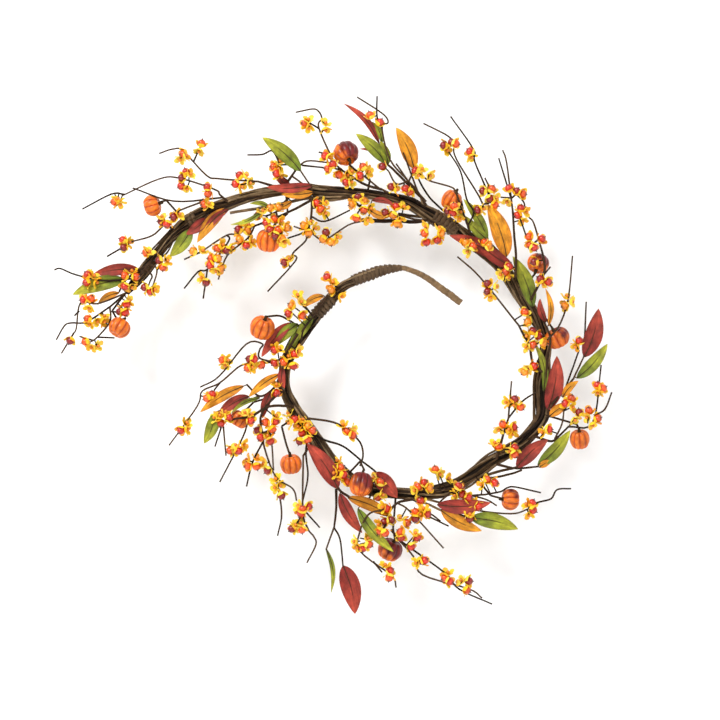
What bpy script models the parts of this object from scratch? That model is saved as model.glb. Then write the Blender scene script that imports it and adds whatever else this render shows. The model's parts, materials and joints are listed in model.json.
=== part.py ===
"""Harvest garland curled into an open wreath: a twig vine, mini pumpkins, berry picks and leaf picks.

Run it with blender --background --python part.py, or from Blender's text editor. The wreath hangs in the
XZ plane with its front towards -Y. The origin is where the inside of the loop's top rests on a hook.
Layout values are millimetres from the loop's centre, X to the right and Z up.
"""

import math

import bmesh
import bpy
import numpy as np
from mathutils import Vector

MM = 0.001
HANG_Z = 159.7  # height of the hook's contact, under the vine's top run
HANG_X = -40.0
GAP = 0.4  # clear space between two separate pieces
VINE_SIDES = 8
STEM_RADIUS = 1.15  # the wrapped wire of a pick
TWIG_RADIUS = 0.8
TWIG_SIDES = 3
ROOT_OVERLAP = 0.25  # how far a twig, leaf or berry runs into the stem that it leaves
END_INSET = 0.8  # nothing leaves a wire nearer to its end than this
STRAIGHT_ENOUGH = 1.6  # a route drops points that lie closer than this to its straight line
WIRE_RADIUS = 0.9  # a pumpkin's wire
BERRY_RADIUS = 4.2
BERRY_SIDES = 4
HUSK_RADIUS = 2.4  # an open husk without a berry
PUMPKIN_SIDES = 10
MOST_SLOPE = 1.3  # how steeply a wire may climb forwards
MERGE = 5e-7  # the grid, in metres, that a union's points are put on
TWIST = 0.7  # turns each wire's flats away from its neighbour's, in radians
CRUMB = 0.0012  # metres across
LEAF_THICKNESS = 1.0
LEAF_SHAPE = ((0.0, 0.22), (0.34, 1.0), (0.68, 0.78), (1.0, 0.06))  # shares of the length and width
BALL_STEP = 2.0  # spacing of the balls that stand for a thick tube
FINE_STEP = 0.7  # and for a thin one

# The vine from the bare stem's cut end to the tail, in mm: X, Z and radius at each point.
VINE = {
    "bare_stem": [
        (51, 57, 3.5), (45, 61.5, 3.6), (40, 65.5, 3.7), (30, 72.5, 3.5), (20, 80, 3.3),
        (10, 86, 3.0), (0, 90, 2.7), (-8, 92, 2.6),
    ],
    "tape_coil": [
        (-8.4, 92, 2.6), (-20, 91, 4.2), (-30, 89, 5.3), (-40, 85.5, 5.6), (-50, 82, 5.5),
        (-57, 79, 5.2),
    ],
    "vine_inner": [
        (-57.4, 78.8, 4.8), (-65, 75, 5.0), (-72, 69, 5.2), (-77, 62.5, 5.4),
    ],
    "tape_wrap_inner": [
        (-77.3, 62.1, 6.0), (-84, 55.5, 6.3), (-94, 45, 6.1),
    ],
    "vine_left": [
        (-94.3, 44.6, 5.6), (-103, 33, 6.6), (-112, 21, 7.2), (-120, 8, 7.2), (-125, -5, 6.4),
        (-126, -20, 5.4), (-124, -33, 5.6), (-118, -45, 6.2), (-110, -57, 6.4), (-104, -66, 6.4),
    ],
    "vine_bottom": [
        (-103.8, -66.3, 6.4), (-97, -76, 6.6), (-88, -88, 6.8), (-78, -101, 6.8), (-66, -114, 6.8),
        (-52, -125, 6.6), (-34, -131, 6.4), (-14, -133, 5.8), (0, -134, 5.6), (15, -133.5, 6.6),
        (32, -130.5, 7.4), (50, -123, 7.0), (66, -112, 6.8), (80, -102, 6.6), (96, -93, 6.2),
        (109, -84.5, 6.2), (119, -74, 6.4),
    ],
    "vine_right": [
        (119.3, -73.7, 6.4), (127, -64, 6.6), (132, -54, 6.4), (132, -40, 6.0), (131, -25, 6.0),
        (133, -8, 5.8), (135.5, 8, 5.8), (136, 20, 5.6), (131, 32, 6.4), (126, 42, 7.0),
        (119, 52, 7.0), (111, 63, 6.2), (104, 75, 6.0), (97, 87, 6.2), (88, 98, 6.4),
        (75, 108, 6.4), (61, 118, 6.4), (47, 128.4, 6.6),
    ],
    "tape_wrap_right": [
        (46.7, 128.6, 7.1), (36, 136, 7.4), (23.5, 143, 7.6),
    ],
    "vine_top": [
        (23.2, 143.2, 6.8), (12, 149.5, 6.6), (0, 156, 6.2), (-15, 160.5, 5.4), (-35, 164.5, 5.2),
        (-60, 167, 5.4), (-85, 168, 6.2), (-110, 171, 5.6), (-138, 168, 5.4), (-160, 163.5, 5.6),
        (-180, 156.5, 6.2), (-200, 149.5, 6.6), (-214, 142.5, 6.6),
    ],
    "tape_wrap_left": [
        (-214.3, 142.3, 7.3), (-220, 139, 7.4), (-223.2, 137.1, 7.0),
    ],
    "vine_tail": [
        (-229, 134, 5.2), (-240, 122, 5.4), (-250, 109.5, 5.2), (-258, 99, 5.6), (-267, 88, 5.6),
        (-275, 78, 4.8), (-284, 67, 3.2),
    ],
}

# Each mini pumpkin: centre X and Z, depth, width, height along its stem, the stem's direction in degrees
# from +X towards +Z, its lean to the front, and its wire's route.
PUMPKINS = {
    "pumpkin_tail": (-289, 32, -17, 22, 19, 60, -20, [(-291, 40), (-297, 49)]),
    "pumpkin_upper_left": (-257, 154, -8, 22, 17, 15, 10, [(-249, 157.5), (-243, 159)]),
    "pumpkin_inner_left": (-141, 119, -12, 25, 23, 85, 20, [(-139, 130), (-132, 138), (-122, 146)]),
    "pumpkin_top": (-64, 206, -9, 26, 22, -65, 35, [(-60, 194), (-50, 186), (-40, 180)]),
    "pumpkin_upper_right": (41, 159, -10, 20, 21, 60, 15, [(46, 168), (51, 158), (53, 146)]),
    "pumpkin_right_top": (127, 96, -17, 22, 19, 250, 20, [(124, 86), (118, 78)]),
    "pumpkin_right": (146, 22, -13, 25, 20, 118, 15, [(140, 33), (135, 42)]),
    "pumpkin_right_low": (169, -79, -8, 20, 20, 95, 20, [(168, -68), (166, -64)]),
    "pumpkin_lower_right": (100, -139, -6, 22, 18, 178, 10, [(91, -138), (80, -135)]),
    "pumpkin_bottom": (-20, -189, -8, 25, 22, 65, 15, [(-15, -179), (-17, -168)]),
    "pumpkin_bottom_left": (-49, -123, -22, 23, 25, 80, -15, [(-46, -109), (-50, -101)]),
    "pumpkin_low_left": (-119, -104, -4, 22, 20, 95, 15, [(-120, -94), (-124, -82), (-128, -66)]),
    "pumpkin_left_low": (-170, -59, -10, 20, 17, 60, 0, [(-164, -50), (-156, -42)]),
    "pumpkin_left": (-147, 32, -20, 25, 23, 70, 25, [(-142, 43), (-130, 44), (-118, 38)]),
}

# Each pick: depth at its root, depth at its tips, the stem's route, its twigs, its berries and its leaves.
# A berry is its centre X and Z and its kind: b a berry, h an open husk, which is left out of the solids
# but keeps its room. A leaf is its base, its tip and its width.
PICKS = {
    "leaves_tail": (-8, -12, [(-262, 94), (-270, 90), (-283, 80), (-290, 68)], [
    ], [
    ], [
        (-270, 90, -316, 85, 12), (-284, 80, -336, 65, 15),
        (-290, 67, -311, 55, 7),
    ]),
    "leaves_upper_left": (-8.5, -12.5, [(-184, 151), (-203, 142), (-218, 133)], [
    ], [
    ], [
        (-218, 130, -239, 103, 14), (-203, 141, -223, 125, 11),
        (-184, 151, -212, 117, 12), (-181, 150, -207, 121, 8),
    ]),
    "leaves_top": (-8.5, -12.5, [(10, 163), (-3, 176), (-17, 190), (-24, 197), (-30, 212)], [
        [(-3, 176), (4, 190)],
    ], [
    ], [
        (-31, 216, -66, 255, 7), (-28, 216, -38, 237, 6),
        (-24, 196, -54, 225, 13), (-22, 195, -30, 218, 9),
        (-28, 203, -50, 210, 4), (4, 190, -14, 231, 16),
    ]),
    "leaves_upper_right": (-8.5, -12.5, [(106, 88), (96, 100), (78, 118)], [
    ], [
    ], [
        (77, 121, 53, 160, 10), (78, 119, 55, 143, 10),
        (96, 103, 77, 155, 19), (103, 92, 64, 121, 13),
        (90, 100, 39, 124, 14),
    ]),
    "leaves_right": (-8.5, -12.5, [(138, -56), (136, -30), (136, 0), (138, 20), (134, 36), (122, 54)], [
    ], [
    ], [
        (122, 53, 102, 103, 15), (137, 34, 134, 71, 6),
        (135, 38, 129, 61, 7), (133, -31, 123, 18, 7),
        (137, -50, 146, 4, 17), (139, -56, 158, -43, 10),
    ]),
    "leaves_lower_right": (-8.5, -12.5, [(86, -104), (106, -108), (128, -106)], [
    ], [
    ], [
        (106, -107, 137, -79, 15), (127, -105, 159, -70, 14),
        (129, -107, 141, -101, 7),
    ]),
    "leaves_hanging": (9, 5, [(-74, -129), (-74, -150), (-76, -168)], [
        [(-76, -168), (-78, -178), (-84, -190)],
        [(-76, -168), (-70, -180), (-67, -195), (-67, -207)],
    ], [
    ], [
        (-84, -189, -79, -233, 5), (-67, -206, -55, -254, 20),
    ]),
    "leaves_left": (-8.5, -12.5, [(-82, 65), (-98, 42), (-112, 34), (-119, 34)], [
    ], [
    ], [
        (-86, 64, -107, 52, 8), (-119, 37, -148, 3, 12),
        (-112, 36, -135, 14, 12), (-113, 30, -125, 6, 8),
        (-97, 43, -114, 17, 10),
    ]),
    "leaves_left_low": (-8.5, -12.5, [(-128, -12), (-136, -28), (-150, -36), (-163, -24)], [
        [(-150, -36), (-194, -52)],
    ], [
    ], [
        (-130, -14, -161, -37, 9), (-127, -8, -125, -28, 8),
        (-166, -26, -209, -52, 11), (-161, -36, -191, -54, 12),
        (-150, -38, -178, -53, 5), (-139, -32, -147, -58, 9),
        (-193, -52, -205, -83, 13),
    ]),
    "leaves_bottom": (-8.5, -12.5, [
        (-80, -112), (-71, -129), (-60, -137), (-48, -146), (-40, -136), (-36, -118),
    ], [
    ], [
    ], [
        (-72, -128, -103, -83, 18), (-37, -113, -13, -137, 17),
        (-70, -133, -48, -172, 13), (-62, -137, -17, -157, 12),
        (-52, -148, -17, -190, 12),
    ]),
    "right_pick": (-8.5, -14, [(141, -44), (155, -28), (163, -18)], [
        [(163, -18), (168, -5), (173, 4)],
        [(155, -28), (162, -5), (168, 10)],
        [(173, 4), (174, 30), (175, 58)],
    ], [
        (168, 19, "b"), (164, 13, "h"),
    ], [
        (173, 3, 187, 51, 18), (166, -18, 196, 16, 13),
        (152, -37, 167, -21, 8),
    ]),
    "pick_top_left": (-7, -14, [(-122, 178), (-114, 189)], [
        [(-90, 163), (-98, 170), (-104, 181), (-109, 188)],
        [(-114, 189), (-119, 194), (-130, 194)],
        [(-130, 194), (-132, 201), (-137, 208), (-147, 204.5), (-162, 204)],
        [(-114, 189), (-109, 195), (-103, 198), (-90, 196.5), (-80, 196)],
        [(-109, 195), (-100, 193.5), (-83, 191)],
    ], [
        (-136, 192, "b"), (-129, 198, "h"), (-131, 190, "h"), (-133, 185, "b"),
        (-128, 182, "h"),
    ], [
        (-109, 188, -147, 221, 15), (-98, 174, -143, 172, 10),
        (-97, 167, -128, 165, 9), (-120, 175, -134, 184, 7),
    ]),
    "pick_bottom_right": (-8.5, -14, [(40, -131), (52, -136), (62, -135), (75, -134)], [
        [(40, -131), (29, -146), (60, -157)],
        [(75, -134), (90, -131), (97, -127), (105, -126.5), (115, -130), (130, -132)],
        [(62, -135), (70, -137), (76, -139), (86, -145)],
        [(56, -136), (60, -148), (71, -151), (85, -152), (100, -153), (110, -150), (118, -148)],
        [(118, -148), (126, -142), (140, -138), (146, -129), (160, -128)],
    ], [
        (115, -143, "h"), (121, -142, "b"), (122, -149, "b"), (118, -155, "h"),
        (68, -146, "b"), (62, -142, "h"), (59, -158, "b"), (59, -153, "h"),
        (52, -134, "b"), (58, -137, "b"), (51, -126, "b"), (44, -135, "h"),
        (45, -128, "h"),
    ], [
        (27, -144, 80, -142, 15), (31, -150, 71, -170, 13),
        (60, -157, 107, -168, 16),
    ]),
    "spray_tail": (-7.5, -15, [(-256, 101), (-268, 86), (-281, 69), (-291, 60), (-299, 53)], [
        [(-284, 67), (-297, 63), (-310, 56), (-320, 56), (-328, 57), (-330, 45), (-332, 32),
        (-335, 26)],
        [(-331, 49), (-334, 44)],
        [(-299, 53), (-312, 45), (-322, 38), (-337, 37), (-344, 34), (-349, 27), (-352, 20)],
        [(-299, 53), (-298, 45), (-299, 38), (-304, 30), (-308, 25), (-312, 22), (-320, 17)],
        [(-312, 22), (-304, 23), (-294, 22)],
        [(-316, 20), (-322, 22), (-329, 23.5)],
        [(-335, 26), (-340, 18), (-347, 6.5)],
        [(-272, 82), (-290, 80), (-305, 79), (-318, 81), (-333, 85), (-342, 90), (-348, 91),
        (-354, 89.5)],
        [(-264, 91), (-257, 84), (-259, 77.5)],
        [(-260, 96), (-252, 90), (-254, 81), (-256, 73)],
        [(-256, 101), (-247, 103), (-241, 108), (-236, 118)],
    ], [
        (-325, 60, "b"), (-317, 61, "b"), (-319, 51, "h"), (-321, 41, "b"),
        (-319, 35, "h"), (-311, 38, "h"), (-304, 38, "h"), (-304, 44, "h"),
        (-338, 19, "b"), (-323, 18, "b"), (-317, 12, "h"), (-310, 14, "h"),
        (-289, 48, "b"), (-283, 47, "b"), (-279, 59, "h"), (-282, 55, "b"),
        (-321, 85, "b"), (-322, 77, "b"), (-314, 84, "h"), (-311, 77, "h"),
        (-284, 84, "b"), (-277, 89, "h"), (-273, 83, "b"), (-284, 73, "b"),
        (-277, 72, "h"), (-246, 92, "b"), (-241, 99, "h"), (-250, 99, "b"),
        (-264, 72, "b"), (-258, 68, "b"), (-253, 70, "h"),
    ], [
    ]),
    "spray_tail_upper": (-7.5, -11, [(-236, 131), (-246, 135)], [
        [(-246, 135), (-250, 129), (-257, 124), (-265, 121.5), (-277, 118)],
        [(-277, 118), (-290, 110), (-302, 103)],
        [(-240, 125), (-252, 113), (-259, 108)],
    ], [
        (-286, 119.5, "b"), (-285, 112, "b"), (-279, 117, "h"), (-248, 138, "b"),
        (-242, 135, "b"), (-247, 143, "h"), (-263, 107, "b"), (-259, 108, "h"),
    ], [
    ]),
    "spray_upper_left_high": (-7, -13, [(-138, 174), (-152, 178)], [
        [(-152, 178), (-165, 179), (-178, 180), (-190, 180.5), (-203, 184), (-208, 189),
        (-216, 198), (-226, 208), (-236, 210), (-250, 205.5)],
        [(-215, 198), (-211, 206), (-209, 212)],
        [(-154, 178), (-161, 175.5), (-170, 174)],
    ], [
        (-207.5, 215.5, "b"), (-210, 207, "h"), (-226, 205, "b"),
        (-229, 199, "h"), (-222, 203, "h"), (-170, 184, "b"), (-163, 184, "h"),
        (-174, 175, "b"), (-167, 172, "h"), (-159, 176, "h"),
    ], [
    ]),
    "spray_upper_left_low": (-8.5, -16, [(-182, 158), (-190, 165)], [
        [(-190, 165), (-195, 170), (-206, 174), (-222, 179), (-230, 181), (-240, 181), (-250, 180),
        (-260, 177), (-276, 168), (-287, 163)],
        [(-284, 165), (-297, 165), (-305, 161), (-326, 150)],
        [(-188, 160), (-198, 160), (-210, 159.5), (-225, 158.5), (-235, 158), (-250, 162.5),
        (-264, 166), (-276, 171)],
        [(-198, 160), (-211, 155), (-222, 152), (-231, 148), (-240, 141)],
    ], [
        (-223, 187, "b"), (-227, 181, "b"), (-228, 173, "b"), (-218, 185, "h"),
        (-222, 170, "h"), (-202, 172, "b"), (-201, 165, "b"), (-294, 157, "b"),
        (-290, 160, "h"), (-288, 154, "h"), (-205, 155, "b"), (-200, 156, "h"),
        (-235, 142, "b"), (-229, 145, "h"),
    ], [
    ]),
    "spray_inner_left": (-8.5, -14, [(-98, 160), (-110, 153), (-122, 147), (-143, 138), (-165, 130)], [
        [(-165, 130), (-172, 125), (-183, 124), (-196, 117), (-209, 107)],
        [(-183, 124), (-181, 118), (-190, 106), (-201, 91), (-211, 88), (-218, 81), (-225, 71)],
        [(-201, 91), (-203, 78), (-206, 61)],
        [(-155, 134), (-162, 121), (-170, 113), (-182, 104), (-186, 95), (-191, 80)],
        [(-209, 107), (-217, 102), (-225, 100)],
    ], [
        (-216, 108, "b"), (-206, 109, "h"), (-192, 111, "b"), (-186, 115, "h"),
        (-183, 109, "b"), (-177, 112, "h"), (-198, 101, "b"), (-191, 101, "b"),
        (-199, 94, "b"), (-188, 91, "b"), (-193, 88, "h"), (-203, 77, "b"),
        (-208, 82, "h"), (-163, 114, "b"), (-157, 118, "h"), (-171, 130, "b"),
        (-162, 129, "b"), (-165, 136, "h"), (-170, 120, "b"), (-161, 135, "h"),
    ], [
    ]),
    "spray_inner_pumpkin": (-8.5, -24, [(-121, 162), (-127, 155), (-134, 147), (-144, 143)], [
        [(-134, 147), (-131, 136), (-127, 124)],
        [(-138, 147), (-144, 151)],
    ], [
        (-143, 136, "b"), (-135, 140, "b"), (-128, 138, "h"), (-131, 129, "b"),
        (-139, 129, "b"), (-134, 123, "b"), (-127, 120, "b"), (-124, 116, "h"),
        (-122, 131, "b"), (-151, 144, "b"), (-146, 148, "h"), (-139, 151, "b"),
        (-131, 152, "b"),
    ], [
        (-145, 149, -178, 134, 5), (-140, 152, -159, 155, 5),
        (-118, 158, -136, 151, 7),
    ]),
    "spray_inner_top": (-8.5, -14, [(-98, 162), (-98, 152), (-99, 141), (-101, 132)], [
        [(-100.6, 134), (-106, 130), (-116, 133)],
        [(-101, 132), (-106, 127), (-122, 121)],
        [(-101, 132), (-104, 119), (-114, 110), (-117, 106), (-114, 99), (-121, 90), (-142, 68)],
        [(-101, 132), (-94, 123), (-84, 120), (-73, 127), (-62, 134), (-48, 138)],
        [(-99, 143), (-85, 138), (-75, 142), (-60, 149)],
    ], [
        (-106, 134, "b"), (-99, 138, "h"), (-94, 131, "h"), (-101, 126, "b"),
        (-125, 97, "b"), (-120, 101, "h"), (-84, 127, "b"), (-87, 120, "b"),
        (-79, 117, "b"), (-72, 122, "h"), (-93, 156, "b"), (-89, 150, "b"),
        (-84, 157, "h"), (-84, 146, "h"),
    ], [
    ]),
    "spray_top": (-6.5, -17, [(-28, 170), (-45, 175), (-60, 184), (-68, 189)], [
        [(-68, 189), (-76, 198), (-85, 216), (-91, 231), (-88, 240), (-91, 247), (-97, 249.5),
        (-114, 246)],
        [(-91, 231), (-99, 235)],
        [(-80, 204), (-91, 206.5)],
        [(-30, 171), (-40, 180), (-50, 186)],
        [(-68, 189), (-78, 191)],
    ], [
        (-105, 235, "b"), (-101, 239, "h"), (-101, 230, "h"), (-84, 236, "h"),
        (-84, 228, "h"), (-85, 203, "b"), (-80, 201, "h"), (-82, 190, "b"),
        (-77, 194, "b"), (-71, 184, "b"), (-62, 184, "h"), (-58, 188, "h"),
        (-64, 177, "b"), (-58, 177, "h"), (-50, 183, "b"), (-47, 192, "b"),
        (-41, 187, "h"),
    ], [
    ]),
    "spray_vine_top": (-8.5, -13, [(-62, 163), (-48, 152), (-30, 146), (-10, 144), (5, 140), (20, 139)], [
        [(20, 139), (17, 130), (15, 121)],
        [(20, 139), (28, 133), (27, 124)],
        [(-48, 152), (-53, 145)],
    ], [
        (-58, 155, "b"), (-46, 159, "b"), (-52, 162, "b"), (-46, 149, "b"),
        (-39, 151, "h"), (-54, 141, "b"), (-42, 139, "h"), (-14, 153, "b"),
        (-6, 153, "h"), (-17, 144, "b"), (-25, 147, "b"), (-10, 139, "h"),
        (-13, 135, "b"), (15, 133, "h"), (14, 126, "b"), (16, 117, "b"),
        (29, 132, "h"), (31, 126, "b"), (27, 119, "b"),
    ], [
        (-40, 149, -20, 143, 8), (-38, 159, -16, 154, 6),
    ]),
    "spray_top_fan": (-8.5, -20, [(16, 154), (7, 168), (-2, 178)], [
        [(-2, 178), (-10, 188), (-20, 199), (-26, 220), (-28, 230), (-22, 236), (-23, 240),
        (-28, 245), (-36, 250), (-53, 261)],
        [(-28, 230), (-33, 242), (-34, 252), (-33, 262)],
        [(7, 168), (2, 180), (-2, 190), (-7, 206)],
        [(-2, 178), (-14, 175), (-22, 188)],
    ], [
        (-40, 243, "b"), (-30, 236, "b"), (-28, 192, "b"), (-19, 172, "b"),
        (-13, 169, "h"), (-1, 167, "b"), (-5, 170, "b"),
    ], [
    ]),
    "spray_upper_right": (-8.5, -18, [(62, 120), (57, 134), (52, 148)], [
        [(52, 148), (48, 159), (45, 166), (40, 172), (29, 173.5), (19, 178), (11, 184)],
        [(57, 134), (63, 147), (56, 160), (54, 172), (50, 187), (43, 197), (38, 207)],
        [(63, 147), (72, 155), (66, 165), (57, 182), (46, 199), (43, 213)],
        [(43, 213), (38, 222), (30, 227), (13, 235)],
        [(72, 155), (79, 160), (69, 185), (64, 197), (63, 209), (52, 226), (40, 242)],
        [(79, 160), (78, 172), (74, 181)],
    ], [
        (5, 188, "b"), (12, 190, "h"), (8, 183, "h"), (20, 183, "h"),
        (37, 148, "b"), (42, 146, "b"), (43, 152, "b"), (50, 147, "h"),
        (49, 140, "h"), (33, 213, "b"), (37, 208, "h"), (41, 216, "b"),
        (45, 214, "b"), (59, 207, "b"), (61, 201, "h"), (81, 170, "b"),
        (72, 168, "b"), (79, 160, "b"), (86, 161, "h"), (84, 154, "b"),
        (67, 149, "b"), (73, 150, "h"), ], [
    ]),
    "spray_shoulder": (-8.5, -13, [(104, 82), (105, 105), (104, 120), (103, 135), (102, 150)], [
        [(102, 150), (101, 161), (99, 172), (96, 196), (92, 209)],
        [(101, 161), (96, 178), (88, 201)],
        [(101, 161), (106, 164), (110, 162), (113, 157), (114, 150)],
        [(101, 161), (90, 162)],
    ], [
        (98, 171, "b"), (106, 168, "b"), (112, 165, "b"), (96, 157, "h"),
        (110, 151, "b"), (107, 144, "b"), (116, 147, "h"), (112, 138, "h"),
    ], [
    ]),
    "spray_right_top": (-8.5, -31, [(120, 60), (131, 84), (132, 97), (130, 110)], [
        [(130, 110), (126, 125), (122, 135), (117, 141)],
        [(126, 119), (118, 116), (112, 127), (108, 140)],
        [(131, 84), (138, 92)],
    ], [
        (117, 122, "b"), (118, 114, "b"), (122, 111, "b"), (130, 120, "b"),
        (128, 80, "b"), (136, 77, "b"), (131, 75, "h"), (122, 97, "b"),
    ], [
    ]),
    "spray_inner_right": (-8.5, -10, [(131, -12), (122, -3), (119, 14), (113, 25), (108, 35)], [
        [(108, 35), (100, 47), (88, 62), (80, 72), (70, 82), (47, 103)],
    ], [
        (77, 76, "b"), (77, 68, "b"), (80, 62, "h"), (86, 73, "h"),
        (123, -6, "b"), (117, -9, "h"), (117, 38, "b"), (114, 48, "b"),
        (128, 24, "b"), (122, 29, "b"), (116, 24, "h"), (132, 17, "b"),
        (122, 15, "b"), (115, 13, "h"), (113, -12, "b"),
    ], [
    ]),
    "spray_right_low": (-8.5, -13, [(124, -76), (141, -81), (149, -75), (158, -66)], [
        [(144, -79), (151, -64), (153, -50)],
        [(158, -66), (174, -64), (181, -62), (183, -52), (185, -36), (187, -18), (190, -5)],
        [(183, -55), (193, -49), (200, -32)],
        [(158, -66), (162, -59)],
    ], [
        (154, -43, "b"), (160, -38, "b"), (162, -47, "h"), (168, -52, "b"),
        (164, -60, "h"), (186, -25, "b"), (191, -28, "b"), (186, -33, "h"),
        (177, -50, "b"), (175, -57, "h"), (186, -58, "b"), (181, -65, "h"),
        (138, -69, "b"), (131, -72, "h"),
    ], [
    ]),
    "spray_inner_low": (-8.5, -10, [(86, -99), (90, -85), (94, -70), (98, -58)], [
        [(98, -58), (100, -45), (101, -21)],
        [(98, -58), (105, -50), (112, -41), (126, -32)],
        [(89, -90), (99, -89)],
    ], [
        (104, -39, "b"), (103, -45, "h"), (95, -42, "h"), (110, -47, "b"),
        (92, -64, "b"), (88, -70, "h"), (103, -67, "b"), (98, -69, "h"),
        (102, -74, "h"), (88, -86, "b"), (84, -82, "h"), (104, -87, "b"),
        (99, -91, "h"), (104, -94, "b"),
    ], [
    ]),
    "spray_bottom": (-8.5, -18, [(2, -139), (-12, -142), (-20, -150), (-22, -160)], [
        [(-12, -142), (0, -151), (10, -163), (20, -174), (33, -187)],
        [(0, -151), (14, -154), (38, -165)],
        [(14, -154), (20, -153), (30, -160)],
        [(-20, -150), (-40, -152), (-50, -170), (-50, -190), (-40, -198), (-24, -210), (-19, -214),
        (-14, -226)],
        [(-37, -200), (-28, -211)],
    ], [
        (-26, -161, "b"), (-19, -159, "b"), (-23, -148, "b"), (-28, -146, "h"),
        (-32, -163, "h"), (-30, -170, "b"), (-25, -171, "b"), (-10, -157, "h"),
        (-3, -162, "b"), (5, -151, "b"), (5, -158, "b"), (10, -153, "h"),
        (17, -153, "b"), (13, -147, "h"), (10, -140, "b"), (-56, -180, "h"),
        (-53, -186, "h"), (-47, -187, "b"), (-41, -183, "b"), (-42, -177, "h"),
        (-20, -209, "b"), (-21, -216, "b"), (-25, -203, "h"),
    ], [
    ]),
    "spray_lower_trail": (-27, -17, [(-19, -168), (-12, -178)], [
        [(-12, -178), (-5, -187), (3, -195), (8, -205), (12, -213), (25, -219), (45, -224),
        (58, -227), (71, -236)],
        [(-12, -178), (8, -190), (22, -201), (34, -211), (48, -227), (60, -234), (81, -242)],
    ], [
        (10, -199, "b"), (5, -201, "h"), (14, -198, "b"), (34, -216, "b"),
        (37, -210, "h"), (39, -219, "b"), (50, -218, "h"), (58, -219, "b"),
        (56, -228, "b"), (7, -176, "b"), (5, -171, "h"), (1, -185, "b"),
        (-9, -176, "b"), (-10, -170, "b"),
    ], [
    ]),
    "spray_left_trail": (-8.5, -11, [(-99, -84), (-107, -96)], [
        [(-107, -96), (-107, -120), (-106, -140), (-107, -150), (-105, -158), (-102, -168),
        (-96, -176), (-94, -184), (-97, -192), (-103, -202)],
        [(-106, -148), (-90, -167)],
        [(-107, -152), (-112, -161)],
    ], [
        (-101, -146, "b"), (-109, -153, "b"), (-107, -148, "b"),
        (-112, -145, "h"), (-118, -168, "b"), (-114, -164, "h"),
        (-108, -169, "b"), (-109, -162, "h"),
    ], [
    ]),
    "spray_left_hanging": (-8.5, -14, [(-126, -30), (-140, -42), (-149, -58), (-146, -78)], [
        [(-146, -78), (-145, -88), (-138, -107), (-134, -116), (-123, -122), (-117, -128),
        (-113, -140)],
        [(-147, -80), (-152, -90), (-157, -102), (-163, -126)],
        [(-134, -116), (-131, -128), (-129, -141), (-128, -152), (-132, -175)],
        [(-146, -72), (-139, -74), (-138, -98), (-136, -110)],
    ], [
        (-134, -118, "h"), (-129, -125, "h"), (-135, -127, "h"),
        (-128, -135, "b"), (-142, -110, "b"), (-146, -103, "h"),
        (-152, -97, "h"), (-162, -105, "b"), (-163, -99, "h"),
        (-153, -106, "b"), (-152, -70, "b"), (-149, -77, "b"),
        (-139, -81, "b"), (-142, -75, "h"), (-134, -61, "b"), (-133, -55, "h"),
        (-144, -62, "b"), (-137, -69, "b"), (-133, -33, "b"), (-133, -24, "h"),
    ], [
    ]),
    "spray_left": (-8.5, -15, [(-112, 26), (-126, 4), (-138, -2), (-162, -3)], [
        [(-162, -3), (-171, -7), (-184, -18), (-190, -23), (-200, -26), (-207, -31), (-212, -46),
        (-222, -60), (-231, -73), (-240, -85)],
        [(-190, -23), (-195, -30)],
        [(-138, -2), (-150, 2), (-150, 10), (-147, 16), (-163, 16), (-180, -4), (-190, -16),
        (-200, -22), (-209, -27)],
    ], [
        (-228, -70, "b"), (-222, -62, "h"), (-221, -69, "h"), (-197, -34, "b"),
        (-202, -38, "b"), (-160, 1, "b"), (-155, 1, "b"), (-162, -8, "b"),
        (-157, -7, "h"), (-148, -5, "b"), (-187, 0, "b"), (-184, -6, "h"),
        (-181, 0, "h"), (-135, 10, "b"), (-130, 12, "h"), (-135, -3, "b"),
        (-126, -2, "b"), (-121, 4, "h"), (-115, 6, "b"), (-110, 9, "h"),
        (-116, -6, "b"),
    ], [
    ]),
    "spray_left_low": (-8.5, -20, [(-116, -46), (-140, -46), (-158, -56), (-172, -58), (-187, -62)], [
        [(-186, -64), (-184, -80), (-183, -95)],
        [(-187, -62), (-191, -78), (-194, -86)],
        [(-160, -58), (-166, -76), (-174, -90), (-182, -107), (-189, -121)],
    ], [
        (-195, -57, "h"), (-189, -55, "h"), (-188, -63, "b"), (-180, -57, "b"),
        (-183, -51, "h"), (-164, -52, "h"), (-157, -54, "h"), (-158, -60, "b"),
        (-179, -90, "b"), (-170, -90, "b"), (-173, -84, "h"), (-164, -84, "h"),
    ], [
    ]),
}

# How rough, how coloured: base colour and roughness of each finish.
FINISHES = {
    "vine_brown": ((0.10, 0.062, 0.036), 0.85),
    "bare_stem_brown": ((0.20, 0.125, 0.075), 0.8),
    "tape_brown": ((0.12, 0.075, 0.045), 0.7),
    "pumpkin_orange": ((0.72, 0.20, 0.025), 0.5),
    "berry_red": ((0.42, 0.04, 0.02), 0.35),
    "leaf_fabric": ((0.48, 0.16, 0.03), 0.6),
}


def material(name):
    """The finish's Principled material, one new copy for each piece."""
    colour, roughness = FINISHES[name]
    made = bpy.data.materials.new(name)
    made.use_nodes = True
    shader = made.node_tree.nodes["Principled BSDF"]
    shader.inputs["Base Color"].default_value = (*colour, 1)
    shader.inputs["Roughness"].default_value = roughness
    return made


def add_piece(name, mesh, finish):
    """A named object at the wreath's place, with its own material."""
    mesh.shade_smooth()
    mesh.set_sharp_from_angle(angle=math.radians(50))
    mesh.materials.append(material(finish))
    piece = bpy.data.objects.new(name, mesh)
    piece.location = (-HANG_X * MM, 0, -HANG_Z * MM)
    bpy.context.scene.collection.objects.link(piece)
    return piece


def mesh_from(shape, name):
    """A mesh in metres from a bmesh in millimetres, its faces pointing out."""
    bmesh.ops.recalc_face_normals(shape, faces=shape.faces)
    bmesh.ops.scale(shape, vec=(MM, MM, MM), verts=shape.verts)
    mesh = bpy.data.meshes.new(name)
    shape.to_mesh(mesh)
    shape.free()
    return mesh


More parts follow.
